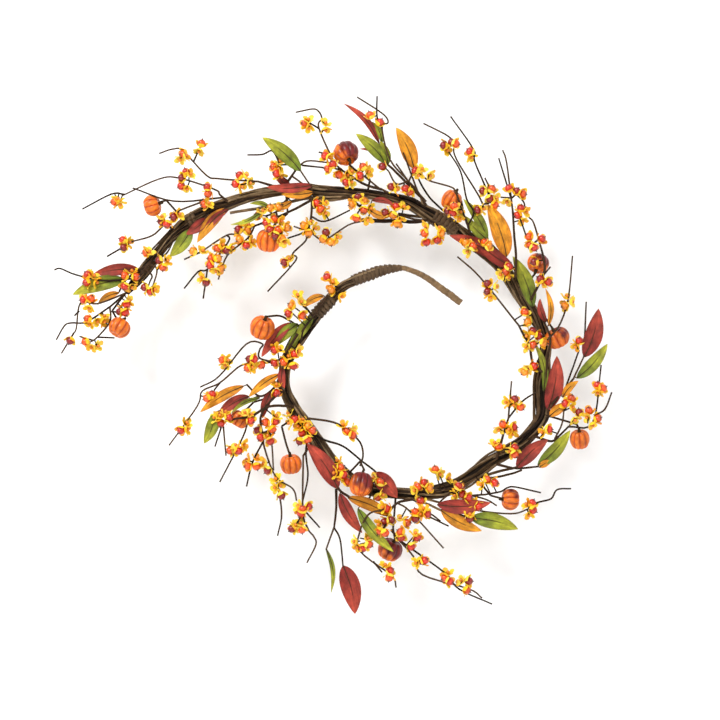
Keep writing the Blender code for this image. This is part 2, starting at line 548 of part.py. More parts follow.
def welded(mesh):
    """The mesh's points on a fine grid, and its triangles without slivers or flaps of no thickness."""
    points = np.empty(len(mesh.vertices) * 3)
    mesh.vertices.foreach_get("co", points)
    mesh.calc_loop_triangles()
    faces = np.empty(len(mesh.loop_triangles) * 3, int)
    mesh.loop_triangles.foreach_get("vertices", faces)
    points, index = np.unique(np.round(points.reshape(-1, 3) / MERGE), axis=0, return_inverse=True)
    faces = index.reshape(-1)[faces.reshape(-1, 3)]
    corners = np.sort(faces, axis=1)
    faces = faces[(corners[:, 0] != corners[:, 1]) & (corners[:, 1] != corners[:, 2])]
    _, group, count = np.unique(np.sort(faces, axis=1), axis=0, return_inverse=True, return_counts=True)
    faces = faces[count[group.reshape(-1)] == 1]
    return (points * MERGE).tolist(), faces.tolist()


def drop_crumbs(shape):
    """Deletes bodies smaller than a crumb, which a union can leave where shells only graze."""
    unseen = set(shape.verts)
    while unseen:
        body = {unseen.pop()}
        edge = set(body)
        while edge:
            edge = {link.other_vert(vert) for vert in edge for link in vert.link_edges} - body
            body |= edge
        unseen -= body
        places = [vert.co for vert in body]
        if max((place - places[0]).length for place in places) < CRUMB:
            bmesh.ops.delete(shape, geom=list(body), context="VERTS")


def united(shells, name):
    """One closed body from overlapping closed shells. MANIFOLD: EXACT leaves slivers between thin shells."""
    items = [bpy.data.objects.new(name, mesh_from(shell, name)) for shell in shells]
    body, others = items[0], bpy.data.collections.new(name)
    bpy.context.scene.collection.objects.link(body)
    for item in items[1:]:
        others.objects.link(item)
    bpy.context.scene.collection.children.link(others)
    union = body.modifiers.new("union", "BOOLEAN")
    union.operation = "UNION"
    union.operand_type = "COLLECTION"
    union.solver = "MANIFOLD"
    union.collection = others
    graph = bpy.context.evaluated_depsgraph_get()
    mesh = bpy.data.meshes.new_from_object(body.evaluated_get(graph))
    for item in items:
        bpy.data.objects.remove(item)
    bpy.data.collections.remove(others)
    points, faces = welded(mesh)
    clean = bpy.data.meshes.new(name)
    clean.from_pydata(points, [], faces)
    shape = bmesh.new()
    shape.from_mesh(clean)
    drop_crumbs(shape)
    shape.to_mesh(clean)
    shape.free()
    return clean


class Space:
    """What is already in place, as rows of x, y, z and radius. Later pieces settle in front of it."""

    def __init__(self):
        self.balls = np.zeros((0, 4))
        self.near = self.balls

    def add(self, balls):
        self.balls = np.vstack([self.balls, np.array(balls)])

    def look_near(self, points):
        """Narrows the search to the balls around these points."""
        places = np.array([(point[0], point[2]) for point in points])
        low = places.min(axis=0) - 30
        high = places.max(axis=0) + 30
        flat = self.balls[:, [0, 2]]
        self.near = self.balls[((flat > low) & (flat < high)).all(axis=1)]

    def clear_depth(self, x, depth, z, radius):
        """The first depth from the given one forwards where a ball touches nothing."""
        flat = np.hypot(self.near[:, 0] - x, self.near[:, 2] - z)
        reach = self.near[:, 3] + radius + GAP
        hits = flat < reach
        half = np.sqrt(reach[hits] ** 2 - flat[hits] ** 2)
        fronts = self.near[hits, 1] - half
        backs = self.near[hits, 1] + half
        for _ in range(len(fronts)):
            blocked = (fronts < depth - 1e-6) & (depth < backs)
            if not blocked.any():
                break
            depth = fronts[blocked].min()
        return depth


def along(points, radius, step):
    """Balls along a route, close enough together to stand for its tube."""
    balls = []
    for start, end in zip(points, points[1:]):
        start, end = Vector(start), Vector(end)
        count = max(1, math.ceil((end - start).length / step))
        balls += [(*start.lerp(end, k / count), radius) for k in range(count + 1)]
    return balls


def settle(space, route, radius, first_is_fixed):
    """Bends a route forwards until its tube clears what is in place. The first point may be fixed."""
    for _ in range(60):
        moved = False
        for start, end in zip(route, route[1:]):
            count = max(2, math.ceil((end - start).length / 1.5))
            for k in range(count + 1):
                share = k / count
                at = start.lerp(end, share)
                push = at.y - space.clear_depth(at.x, at.y, at.z, radius)
                if push < 0.01:
                    continue
                moved = True
                if first_is_fixed and start is route[0]:
                    end.y -= push / max(share, 0.35)
                else:
                    weight = (1 - share) ** 2 + share**2
                    start.y -= push * (1 - share) / weight
                    end.y -= push * share / weight
        for first, second in list(zip(route, route[1:])) + list(zip(route[::-1], route[-2::-1])):
            steepest = MOST_SLOPE * math.hypot(second.x - first.x, second.z - first.z)
            if second.y > first.y + steepest and not (first_is_fixed and second is route[0]):
                second.y = first.y + steepest
                moved = True
        if not moved:
            break


def ring(shape, centre, direction, radius, sides, flatten=1.0, across=None, twist=0.0):
    """A ring of points around a route, flat across it."""
    across = across or direction.cross(Vector((0, 1, 0)))
    if across.length < 1e-3:
        across = direction.cross(Vector((0, 0, 1)))
    across = across.normalized()
    up = across.cross(direction.normalized()).normalized()
    points = []
    for k in range(sides):
        turn = math.tau * k / sides + twist
        offset = across * (radius * math.cos(turn)) + up * (radius * flatten * math.sin(turn))
        points.append(shape.verts.new(centre + offset))
    return points


def close_end(shape, points, tip=None):
    """Closes a ring with a flat cap, or with a point."""
    if tip is None:
        shape.faces.new(points)
        return
    apex = shape.verts.new(tip)
    for first, second in zip(points, points[1:] + points[:1]):
        shape.faces.new((first, second, apex))


def skin(shape, rings):
    """Joins rings of the same number of points into a tube."""
    for lower, upper in zip(rings, rings[1:]):
        count = len(lower)
        for k in range(count):
            other = (k + 1) % count
            shape.faces.new((lower[k], lower[other], upper[other], upper[k]))


def tube(points, radii, sides, start_direction=None, end_direction=None, twist=0.0):
    """A closed tube along the points, each with its own radius, no thinner where it bends."""
    directions = []
    widths = []
    for k, radius in enumerate(radii):
        before = points[max(k - 1, 0)]
        after = points[min(k + 1, len(points) - 1)]
        directions.append((after - before).normalized())
        inside = 0 < k < len(points) - 1
        bend = (points[k] - before).angle(after - points[k], 0) if inside else 0
        widths.append(radius / max(math.cos(bend / 2), 0.6))
    directions[0] = start_direction or directions[0]
    directions[-1] = end_direction or directions[-1]
    shape = bmesh.new()
    rings = [ring(shape, *values, sides, twist=twist) for values in zip(points, directions, widths)]
    skin(shape, rings)
    close_end(shape, rings[0])
    close_end(shape, rings[-1])
    return shape


def berry_solid(root, centre):
    """A berry with its husk: a cone from its twig that swells and closes on the far side."""
    facing = (centre - root).normalized()
    shape = bmesh.new()
    rings = []
    for share in (-0.42, 0.5):
        place = centre + facing * (BERRY_RADIUS * share)
        rings.append(ring(shape, place, facing, BERRY_RADIUS * 0.9, BERRY_SIDES))
    skin(shape, rings)
    close_end(shape, rings[0], root - facing * ROOT_OVERLAP)
    close_end(shape, rings[1], centre + facing * BERRY_RADIUS)
    return shape


def vine_pieces(space):
    """The vine and its tape, as tubes that meet end to end across a narrow gap."""
    names = list(VINE)
    routes = {name: [Vector((x, 0, z)) for x, z, _ in VINE[name]] for name in names}
    for number, name in enumerate(names):
        points = routes[name]
        radii = [radius for _, _, radius in VINE[name]]
        start = end = None
        if number:
            start = (points[1] - routes[names[number - 1]][-2]).normalized()
        if number + 1 < len(names):
            end = (routes[names[number + 1]][1] - points[-2]).normalized()
        shape = tube(points, radii, VINE_SIDES, start, end)
        finish = "tape_brown" if name.startswith("tape") else "vine_brown"
        finish = "bare_stem_brown" if name == "bare_stem" else finish
        add_piece(name, mesh_from(shape, name), finish)
        for (first, second), (thick, thin) in zip(zip(points, points[1:]), zip(radii, radii[1:])):
            space.add([(*ball[:3], max(thick, thin)) for ball in along([first, second], 0, BALL_STEP)])


def pumpkin_axis(turn, lean):
    """The direction of a pumpkin's stem."""
    turn, lean = math.radians(turn), math.radians(lean)
    return Vector((math.cos(turn) * math.cos(lean), -math.sin(lean), math.sin(turn) * math.cos(lean)))


def pumpkin_body(centre, axis, width, height):
    """A ribbed fruit, hollowed a little at both ends."""
    shape = bmesh.new()
    rows = ((-0.84, 0.5), (-0.4, 0.94), (0.4, 0.94), (0.84, 0.5))
    rings = []
    for rise, share in rows:
        points = ring(shape, centre + axis * (rise * height / 2), axis, share * width / 2, PUMPKIN_SIDES)
        for rib in points[::2]:
            rib.co = rib.co.lerp(centre + axis * (rise * height / 2), 0.07)
        rings.append(points)
    skin(shape, rings)
    close_end(shape, rings[0], centre - axis * (height * 0.38))
    close_end(shape, rings[-1], centre + axis * (height * 0.38))
    return shape


def pumpkin_balls(centre, axis, width, height):
    """Balls that stand for the fruit."""
    side = axis.cross(Vector((0.3, 0.9, 0.1))).normalized()
    other = axis.cross(side)
    small = min(width, height) / 2
    spread = max(width - height, 0) / 2
    balls = [(*centre, small)]
    for k in range(10):
        turn = math.tau * k / 10
        offset = side * math.cos(turn) + other * math.sin(turn)
        balls.append((*(centre + offset * (spread + 0.3)), small))
    rise = max(height - width, 0) / 2
    balls += [(*(centre + axis * rise), small), (*(centre - axis * rise), small)]
    return balls


def pumpkin_pieces(space):
    """Each pumpkin with its stem and the wire that ties it in."""
    for name, (x, z, depth, width, height, turn, lean, wire) in PUMPKINS.items():
        centre = Vector((x, depth, z))
        axis = pumpkin_axis(turn, lean)
        balls = pumpkin_balls(centre, axis, width, height)
        space.look_near([centre])
        push = max(ball[1] - space.clear_depth(ball[0], ball[1], ball[2], ball[3]) for ball in balls)
        for _ in range(12):
            centre.y -= push
            balls = pumpkin_balls(centre, axis, width, height)
            push = max(ball[1] - space.clear_depth(ball[0], ball[1], ball[2], ball[3]) for ball in balls)
            if push < 0.01:
                break
        stem_top = centre + axis * (height * 0.38 + 5)
        route = [stem_top] + [Vector((px, -8.5, pz)) for px, pz in wire]
        space.look_near(route)
        settle(space, route, WIRE_RADIUS, True)
        body = pumpkin_body(centre, axis, width, height)
        wire = tube(route, [WIRE_RADIUS] * len(route), 4, twist=TWIST)
        stem = tube([centre + axis * (height * 0.3), stem_top + axis * 0.6], [2.1, 1.6], 5)
        add_piece(name, united([body, wire, stem], name), "pumpkin_orange")
        space.add(balls + along(route, WIRE_RADIUS, FINE_STEP))
        space.add(along([centre, stem_top], 2.1, FINE_STEP))


def stem_route(space, root, tip, stem):
    """A pick's stem: it lies on what is behind it and comes forwards towards its tip."""
    route = []
    for number, (x, z) in enumerate(stem):
        share = number / (len(stem) - 1)
        route.append(Vector((x, root + (tip - root) * share * 0.5, z)))
    space.look_near(route)
    settle(space, route, STEM_RADIUS, False)
    return route


def nearest_on(routes, x, z):
    """The place on a pick's routes nearest to a berry or a leaf."""
    best = None
    for route in routes:
        for start, end in zip(route, route[1:]):
            span = Vector((end.x - start.x, end.z - start.z))
            share = Vector((x - start.x, z - start.z)).dot(span) / max(span.length_squared, 1e-9)
            inset = min(END_INSET / max((end - start).length, 1e-9), 0.4)
            at = start.lerp(end, min(max(share, inset), 1 - inset))
            distance = math.hypot(at.x - x, at.z - z)
            if best is None or distance < best[0]:
                best = (distance, at)
    return best[1]


def thin_out(points):
    """The points without those that lie close to the straight line between their neighbours."""
    kept = [points[0]]
    for point, after in zip(points[1:], points[2:]):
        before = kept[-1]
        line = Vector(after) - Vector(before)
        off_line = abs(line.cross(Vector(point) - Vector(before))) / max(line.length, 1e-9)
        if off_line > STRAIGHT_ENOUGH:
            kept.append(point)
    return kept + [points[-1]]


def twig_routes(space, tip, stem, twigs):
    """The twigs, each starting on the stem or on an earlier twig."""
    routes = [stem]
    for twig in map(thin_out, twigs):
        start = nearest_on(routes, *twig[0])
        reach = sum(math.dist(first, second) for first, second in zip(twig, twig[1:]))
        route = [start.copy()]
        done = 0.0
        for first, second in zip(twig, twig[1:]):
            done += math.dist(first, second)
            depth = start.y + (min(tip, start.y) - start.y) * min(1.0, done / reach)
            route.append(Vector((second[0], depth, second[1])))
        space.look_near(route)
        settle(space, route, TWIG_RADIUS, True)
        routes.append(route)
    return routes


def leaf_points(base, tip, width, across_count=3):
    """Balls over a leaf, for finding its place."""
    span = tip - base
    side = Vector((-span.z, 0, span.x)).normalized()
    points = []
    steps = max(3, math.ceil(span.length / 3))
    for k in range(steps + 1):
        share = k / steps
        half = width / 2 * np.interp(share, *zip(*LEAF_SHAPE))
        for place in np.linspace(-1, 1, across_count + 2 * (half > 3)):
            points.append((*(base.lerp(tip, share) + side * (half * place)), 0.9))
    return points


def place_leaf(space, routes, leaf):
    """A leaf's base and tip, brought forwards until it clears what is in place."""
    x, z, tip_x, tip_z, width = leaf
    root = nearest_on(routes, x, z)
    base = Vector((x, root.y - 0.5, z))
    tip = Vector((tip_x, root.y - 3, tip_z))
    space.look_near([base, tip])
    for _ in range(30):
        balls = leaf_points(base, tip, width)
        pushes = [ball[1] - space.clear_depth(ball[0], ball[1], ball[2], ball[3]) for ball in balls]
        push = max(pushes)
        if push < 0.01:
            break
        share = (Vector(balls[pushes.index(push)][:3]) - base).dot(tip - base) / (tip - base).length_squared
        base.y -= push * (1.0 - 0.7 * share)
        tip.y -= push * (0.3 + 0.7 * share)
    return root, base, tip


def leaf_solid(root, base, tip, width):
    """A thin leaf, thickest along its midrib, that narrows to its stem."""
    direction = (tip - base).normalized()
    side = Vector((-direction.z, 0, direction.x)).normalized()
    shape = bmesh.new()
    rings = []
    for share, wide in LEAF_SHAPE[:-1]:
        flatten = LEAF_THICKNESS / max(width * wide, 1)
        leaving = (base - root).normalized() + direction if not rings else direction
        rings.append(ring(shape, base.lerp(tip, share), leaving, width * wide / 2, 4, flatten, side))
    skin(shape, rings)
    close_end(shape, rings[0], root - (base - root).normalized() * ROOT_OVERLAP)
    close_end(shape, rings[-1], tip)
    return shape


def place_berry(space, own, routes, berry):
    """A berry's twig end and its centre, in front of what is in place."""
    x, z, kind = berry
    root = nearest_on(routes, x, z)
    radius = HUSK_RADIUS if kind == "h" else BERRY_RADIUS
    depth = space.clear_depth(x, root.y - 2.0, z, radius + 0.1)
    for _ in range(10):
        shift = depth
        for other in own:
            reach = (other[3] + radius) * 0.92
            flat = math.hypot(other[0] - x, other[2] - z)
            if flat < reach and abs(other[1] - depth) < math.sqrt(reach**2 - flat**2):
                shift = min(shift, other[1] - math.sqrt(reach**2 - flat**2))
        shift = space.clear_depth(x, shift, z, radius + 0.1)
        if depth - shift < 0.01:
            break
        depth = shift
    own.append((x, depth, z, radius))
    return root, Vector((x, depth, z)), radius


def twig_solid(route, thick, is_twig, twist):
    """A wrapped wire that thins towards its tip. A twig's root runs into the stem that it leaves."""
    points = [point.copy() for point in route]
    if is_twig:
        points[0] -= (points[1] - points[0]).normalized() * ROOT_OVERLAP
    radii = [thick * (1 - 0.3 * k / (len(points) - 1)) for k in range(len(points))]
    return tube(points, radii, TWIG_SIDES, twist=twist)


def pick_piece(space, name):
    """One pick: its stem, twigs, leaves and berries united into one body."""
    root, tip, stem, twigs, berries, leaves = PICKS[name]
    routes = twig_routes(space, tip, stem_route(space, root, tip, stem), twigs)
    shells = []
    balls = []
    for number, route in enumerate(routes):
        thick = STEM_RADIUS if number == 0 else TWIG_RADIUS
        shells.append(twig_solid(route, thick, number > 0, number * TWIST))
        balls += along(route, thick, FINE_STEP)
    for leaf in leaves:
        leaf_root, base, leaf_tip = place_leaf(space, routes, leaf)
        shells.append(leaf_solid(leaf_root, base, leaf_tip, leaf[4]))
        balls += leaf_points(base, leaf_tip, leaf[4], 5) + along([leaf_root, base], 0.7, FINE_STEP)
    own = []
    for berry in berries:
        space.look_near([Vector((berry[0], 0, berry[1]))])
        twig_end, centre, _ = place_berry(space, own, routes, berry)
        balls += along([twig_end, centre], 0.7, FINE_STEP)
        if berry[2] != "h":
            shells.append(berry_solid(twig_end, centre))
    space.add(balls + own)
    finish = "berry_red" if berries else "leaf_fabric"
    return add_piece(name, united(shells, name), finish)


def main():
    for old in list(bpy.data.objects):
        bpy.data.objects.remove(old)
    space = Space()
    vine_pieces(space)
    pumpkin_pieces(space)
    for name in PICKS:
        pick_piece(space, name)


main()
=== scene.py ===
"""The harvest garland's looks: twig vine, taped stem, mini pumpkins, lacquered berries and satin leaves."""

import json
import math
import random

import bpy
import numpy as np
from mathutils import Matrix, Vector

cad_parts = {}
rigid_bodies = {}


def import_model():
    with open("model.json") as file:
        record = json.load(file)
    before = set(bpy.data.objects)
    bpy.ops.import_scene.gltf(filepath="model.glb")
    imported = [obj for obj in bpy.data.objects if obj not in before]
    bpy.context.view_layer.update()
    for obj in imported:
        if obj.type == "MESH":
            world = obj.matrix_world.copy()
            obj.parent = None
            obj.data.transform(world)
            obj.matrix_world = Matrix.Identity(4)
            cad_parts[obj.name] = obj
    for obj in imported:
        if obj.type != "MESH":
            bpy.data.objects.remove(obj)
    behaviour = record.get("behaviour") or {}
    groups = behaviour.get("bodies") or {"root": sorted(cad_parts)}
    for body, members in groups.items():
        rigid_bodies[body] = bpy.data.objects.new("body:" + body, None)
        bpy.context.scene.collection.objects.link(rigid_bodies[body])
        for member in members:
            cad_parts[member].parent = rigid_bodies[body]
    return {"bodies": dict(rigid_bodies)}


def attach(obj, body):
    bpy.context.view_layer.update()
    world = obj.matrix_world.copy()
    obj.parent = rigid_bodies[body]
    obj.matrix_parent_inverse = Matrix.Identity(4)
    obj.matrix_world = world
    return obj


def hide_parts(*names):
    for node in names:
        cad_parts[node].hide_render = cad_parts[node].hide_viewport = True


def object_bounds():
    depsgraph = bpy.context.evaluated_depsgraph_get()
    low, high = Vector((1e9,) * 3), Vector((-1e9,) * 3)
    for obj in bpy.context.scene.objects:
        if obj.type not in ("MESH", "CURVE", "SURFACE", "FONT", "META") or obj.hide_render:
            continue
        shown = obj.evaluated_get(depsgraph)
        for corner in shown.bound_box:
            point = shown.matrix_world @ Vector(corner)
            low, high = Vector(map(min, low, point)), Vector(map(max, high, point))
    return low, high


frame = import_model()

MM = 0.001
HANG_X = -40.0  # the origin, in the layout's millimetres from the loop's centre: X to the right
HANG_Z = 159.7  # and Z up
GAP = 0.4  # clear space between two separate pieces
STEM_RADIUS = 1.15
TWIG_RADIUS = 0.8
WIRE_RADIUS = 0.9
BERRY_RADIUS = 4.2
HUSK_RADIUS = 2.4
MOST_SLOPE = 1.3  # how steeply a wire may climb forwards
END_INSET = 0.8
STRAIGHT_ENOUGH = 1.6
LEAF_SHAPE = ((0.0, 0.22), (0.34, 1.0), (0.68, 0.78), (1.0, 0.06))
BALL_STEP = 2.0
FINE_STEP = 0.7
VIEW_WIDTH = 0.72  # metres across the view at the wreath
VIEW_X = -50  # layout X at the middle of the view
CAMERA_DISTANCE = 2.6
STRANDS = 17  # round the vine's dark core
STRAND_TURN = 520.0  # mm of vine for one turn of its strands
SPAN_STEPS = 6
CLOSE_ENOUGH = 0.01  # a push smaller than this is left
SEARCH_MARGIN = 30  # how far round a piece its neighbours are looked for
RIBS = 9  # round a pumpkin
FRUIT_STEPS = 28  # from one end of a pumpkin to the other
FRUIT_SIDES = 72
MOST_PUSHES = 12  # times that a pumpkin is moved forwards at most
WIRE_DEPTH = -8.5  # where a pumpkin's wire lies
DRAWN_WIRE = 1.1  # radius that a pumpkin's wire is drawn with
STALK_RADIUS = 0.7  # of a berry's or a leaf's stalk
THIN_TWIG = 1.3  # a loose twig thinner than this lies over the rest
LEAD_IN_LIFT = 1.05  # where a lead-in starts, as a share of the vine's radius
LEAD_IN_REACH = 16  # a pick that starts further than this from the vine has no lead-in
STAGE_SIZE = 4  # half the width of floor and wall, in metres
WALL_GAP = 0.045  # between the wreath's back and the wall
FLOOR_DROP = 0.12  # from the wreath's lowest point to the floor
chance = random.Random(11)


def rgb(text):
    """A colour from its hex name, in linear values."""
    parts = [int(text[k:k + 2], 16) / 255 for k in (0, 2, 4)]
    linear = [part / 12.92 if part < 0.04 else ((part + 0.055) / 1.055) ** 2.4 for part in parts]
    return np.array(linear)


BARK = [rgb("5a442e"), rgb("7c654a"), rgb("33241a"), rgb("947b5b"), rgb("48351f")]
# near-black core of the vine: painted shade for the inside of the bundle, seen between its strands
CORE_SHADE_BROWN = rgb("1f150c")
WIRE_BROWN = [rgb("3a2819"), rgb("4a3624"), rgb("2d1f13")]
TAPE_BROWN = rgb("5a4631")
BARE_BROWN = rgb("7a6042")
BERRY_COLOURS = {"d": rgb("8c100c"), "r": rgb("cc2a0c"), "o": rgb("e6520c"), "a": rgb("f28c14")}
NIB = rgb("2a0e08")
HUSK_BASE = [rgb("ffd936"), rgb("fdc826"), rgb("ffe552")]
HUSK_TIP = [rgb("ffdc40"), rgb("f8a820"), rgb("ee7e1a"), rgb("ffce2c"), rgb("dc4c1a"), rgb("ffd234")]
HUSK_HEART = rgb("e2801a")
LEAF_COLOURS = {
    "green": (rgb("57701c"), rgb("b0ac2c"), rgb("66651c")),
    "red": (rgb("7e211c"), rgb("b24530"), rgb("6a1a16")),
    "gold": (rgb("cc8014"), rgb("dc961e"), rgb("9a4a12")),
}
PUMPKIN_ORANGE = rgb("e97410")
# darker orange for the grooves between a pumpkin's ribs: painted shade
PUMPKIN_GROOVE_SHADE = rgb("b23a08")
PUMPKIN_BURGUNDY = rgb("6e1210")
PUMPKIN_STEM = rgb("3f2f1a")

# Twigs that leave the vine beside its main bundle: radius, then X and Z along it
MORE_TWIGS = (
    (2.3, (-52, 140), (-30, 139), (-10, 139), (5, 138), (22, 141)),
    (1.6, (-12, 146), (10, 143), (24, 142)),
    (
        1.9, (-60, 163), (-80, 160), (-100, 162), (-120, 158), (-140, 154), (-155, 151), (-168, 149),
        (-180, 147),
    ),
    (1.6, (124, -60), (124, -40), (124, -20), (128, 0)),
    (1.7, (136, -48), (139, -20), (139, 0), (136, 16)),
    (1.6, (97, 80), (104, 70), (112, 60), (116, 52)),
    (1.7, (64, -113), (75, -115), (90, -111), (108, -107)),
    (1.4, (66, -116), (80, -118), (100, -114), (112, -110)),
    (1.4, (4, -136), (20, -140), (40, -145)),
    (1.4, (2, -138), (20, -145), (35, -152), (55, -157)),
    (1.2, (-103, -58), (-77, -62), (-63, -70), (-50, -82), (-47, -95), (-50, -106)),
    (1.2, (-101, -68), (-87, -79), (-67, -86), (-48, -101), (-34, -112), (-26, -124)),
    (1.1, (-99, -66), (-104, -90), (-102, -116), (-107, -140)),
    (1.1, (16, 158), (0, 176), (-14, 196)),
    (1.1, (34, 148), (18, 164), (6, 186), (2, 204)),
    (1.1, (134, 20), (146, 32), (155, 50), (159, 70), (162, 104)),
    (1.1, (-96, 44), (-106, 30), (-112, 12), (-136, -8)),
)

# Berries added to a body on short stalks from its nearest twig: x, z, colour, way it faces
MORE_BERRIES = {
    "garland": (
        (-73, -100, "y", 120), (-69, -107, "o", 30), (-76, -112, "y", 180), (-66, -114, "r", 330),
        (-63, -121, "o", 20), (-71, -119, "y", 250), (-30, -121, "o", 60), (-37, -117, "y", 150),
        (-32, -137, "o", 300), (-27, -134, "y", 20), (8, -126, "o", 60), (14, -122, "r", 40),
        (4, -130, "y", 200), (19, -127, "a", 0), (25, -109, "o", 100), (30, -114, "y", 330),
        (39, -118, "y", 20), (55, 117, "a", 90), (62, 113, "o", 30), (57, 108, "y", 200),
        (74, 117, "o", 80), (78, 113, "a", 10), (95, 88, "o", 200), (99, 82, "y", 300),
        (90, 85, "y", 210), (98, 93, "r", 60), (-122, -53, "y", 120), (-115, -59, "r", 80),
        (-121, -63, "y", 190), (-107, -59, "y", 60), (-102, -66, "a", 20), (-97, -70, "o", 0),
        (-108, -73, "r", 240), (-102, -79, "o", 300), (-110, -81, "d", 250), (-112, -66, "y", 150),
        (-67, -64, "y", 110), (-63, -71, "o", 60), (-57, -75, "o", 350), (-55, -69, "y", 20),
        (156, 64, "y", 80), (154, 54, "a", 200), (162, 58, "y", 0), (-83, 83, "r", 130),
        (-77, 78, "y", 60), (-79, 70, "a", 200), (-68, 63, "y", 330), (-112, 65, "y", 90),
        (-108, 58, "y", 40), (-118, 54, "a", 150), (-121, 46, "r", 200), (-107, 44, "o", 330),
    ),
    "pick_bottom_right": (
        (48, -125, "r", 60), (70, -124, "y", 180), (77, -119, "o", 40), (84, -122, "r", 350),
    ),
}
NO_LEAD_IN = ("spray_bottom", "pick_bottom_right", "leaves_upper_left")  # their berries swing past the place
# The vine from the bare stem's cut end to the tail, in mm: X, Z and radius at each point.
VINE = {
    "bare_stem": [
        (51, 57, 3.5), (45, 61.5, 3.6), (40, 65.5, 3.7), (30, 72.5, 3.5), (20, 80, 3.3), (10, 86, 3.0),
        (0, 90, 2.7), (-8, 92, 2.6),
    ],
    "tape_coil": [
        (-8.4, 92, 2.6), (-20, 91, 4.2), (-30, 89, 5.3), (-40, 85.5, 5.6), (-50, 82, 5.5), (-57, 79, 5.2),
    ],
    "vine_inner": [
        (-57.4, 78.8, 4.8), (-65, 75, 5.0), (-72, 69, 5.2), (-77, 62.5, 5.4),
    ],
    "tape_wrap_inner": [
        (-77.3, 62.1, 6.0), (-84, 55.5, 6.3), (-94, 45, 6.1),
    ],
    "vine_left": [
        (-94.3, 44.6, 5.6), (-103, 33, 6.6), (-112, 21, 7.2), (-120, 8, 7.2), (-125, -5, 6.4),
        (-126, -20, 5.4), (-124, -33, 5.6), (-118, -45, 6.2), (-110, -57, 6.4), (-104, -66, 6.4),
    ],
    "vine_bottom": [
        (-103.8, -66.3, 6.4), (-97, -76, 6.6), (-88, -88, 6.8), (-78, -101, 6.8), (-66, -114, 6.8),
        (-52, -125, 6.6), (-34, -131, 6.4), (-14, -133, 5.8), (0, -134, 5.6), (15, -133.5, 6.6),
        (32, -130.5, 7.4), (50, -123, 7.0), (66, -112, 6.8), (80, -102, 6.6), (96, -93, 6.2),
        (109, -84.5, 6.2), (119, -74, 6.4),
    ],
    "vine_right": [
        (119.3, -73.7, 6.4), (127, -64, 6.6), (132, -54, 6.4), (132, -40, 6.0), (131, -25, 6.0),
        (133, -8, 5.8), (135.5, 8, 5.8), (136, 20, 5.6), (131, 32, 6.4), (126, 42, 7.0), (119, 52, 7.0),
        (111, 63, 6.2), (104, 75, 6.0), (97, 87, 6.2), (88, 98, 6.4), (75, 108, 6.4), (61, 118, 6.4),
        (47, 128.4, 6.6),
    ],
    "tape_wrap_right": [
        (46.7, 128.6, 7.1), (36, 136, 7.4), (23.5, 143, 7.6),
    ],
    "vine_top": [
        (23.2, 143.2, 6.8), (12, 149.5, 6.6), (0, 156, 6.2), (-15, 160.5, 5.4), (-35, 164.5, 5.2),
        (-60, 167, 5.4), (-85, 168, 6.2), (-110, 171, 5.6), (-138, 168, 5.4), (-160, 163.5, 5.6),
        (-180, 156.5, 6.2), (-200, 149.5, 6.6), (-214, 142.5, 6.6),
    ],
    "tape_wrap_left": [
        (-214.3, 142.3, 7.3), (-220, 139, 7.4), (-223.2, 137.1, 7.0),
    ],
    "vine_tail": [
        (-229, 134, 5.2), (-240, 122, 5.4), (-250, 109.5, 5.2), (-258, 99, 5.6), (-267, 88, 5.6),
        (-275, 78, 4.8), (-284, 67, 3.2),
    ],
}

# Each mini pumpkin: centre X and Z, depth, width, height along its stem, the stem's direction in degrees
# from +X towards +Z, its lean to the front, the share of it stained burgundy, and its wire's route.
PUMPKINS = {
    "pumpkin_tail": (-289, 32, -17, 22, 19, 60, -20, 0.0, [(-291, 40), (-297, 49)]),
    "pumpkin_upper_left": (-257, 154, -8, 22, 17, 15, 10, 0.2, [(-249, 157.5), (-243, 159)]),
    "pumpkin_inner_left": (-141, 119, -12, 25, 23, 85, 20, 0.25, [(-139, 130), (-132, 138), (-122, 146)]),
    "pumpkin_top": (-64, 206, -9, 26, 22, -65, 35, 0.6, [(-60, 194), (-50, 186), (-40, 180)]),
    "pumpkin_upper_right": (41, 159, -10, 20, 21, 60, 15, 0.1, [(46, 168), (51, 158), (53, 146)]),
    "pumpkin_right_top": (127, 96, -17, 22, 19, 250, 20, 0.45, [(124, 86), (118, 78)]),
    "pumpkin_right": (146, 22, -13, 25, 20, 118, 15, 0.35, [(140, 33), (135, 42)]),
    "pumpkin_right_low": (169, -79, -8, 20, 20, 95, 20, 0.0, [(168, -68), (166, -64)]),
    "pumpkin_lower_right": (100, -139, -6, 22, 18, 178, 10, 0.25, [(91, -138), (80, -135)]),
    "pumpkin_bottom": (-20, -189, -8, 25, 22, 65, 15, 0.75, [(-15, -179), (-17, -168)]),
    "pumpkin_bottom_left": (-49, -123, -22, 23, 25, 80, -15, 0.6, [(-46, -109), (-50, -101)]),
    "pumpkin_low_left": (-119, -104, -4, 22, 20, 95, 15, 0.0, [(-120, -94), (-124, -82), (-128, -66)]),
    "pumpkin_left_low": (-170, -59, -10, 20, 17, 60, 0, 0.1, [(-164, -50), (-156, -42)]),
    "pumpkin_left": (-147, 32, -20, 25, 23, 70, 25, 0.15, [(-142, 43), (-130, 44), (-118, 38)]),
}

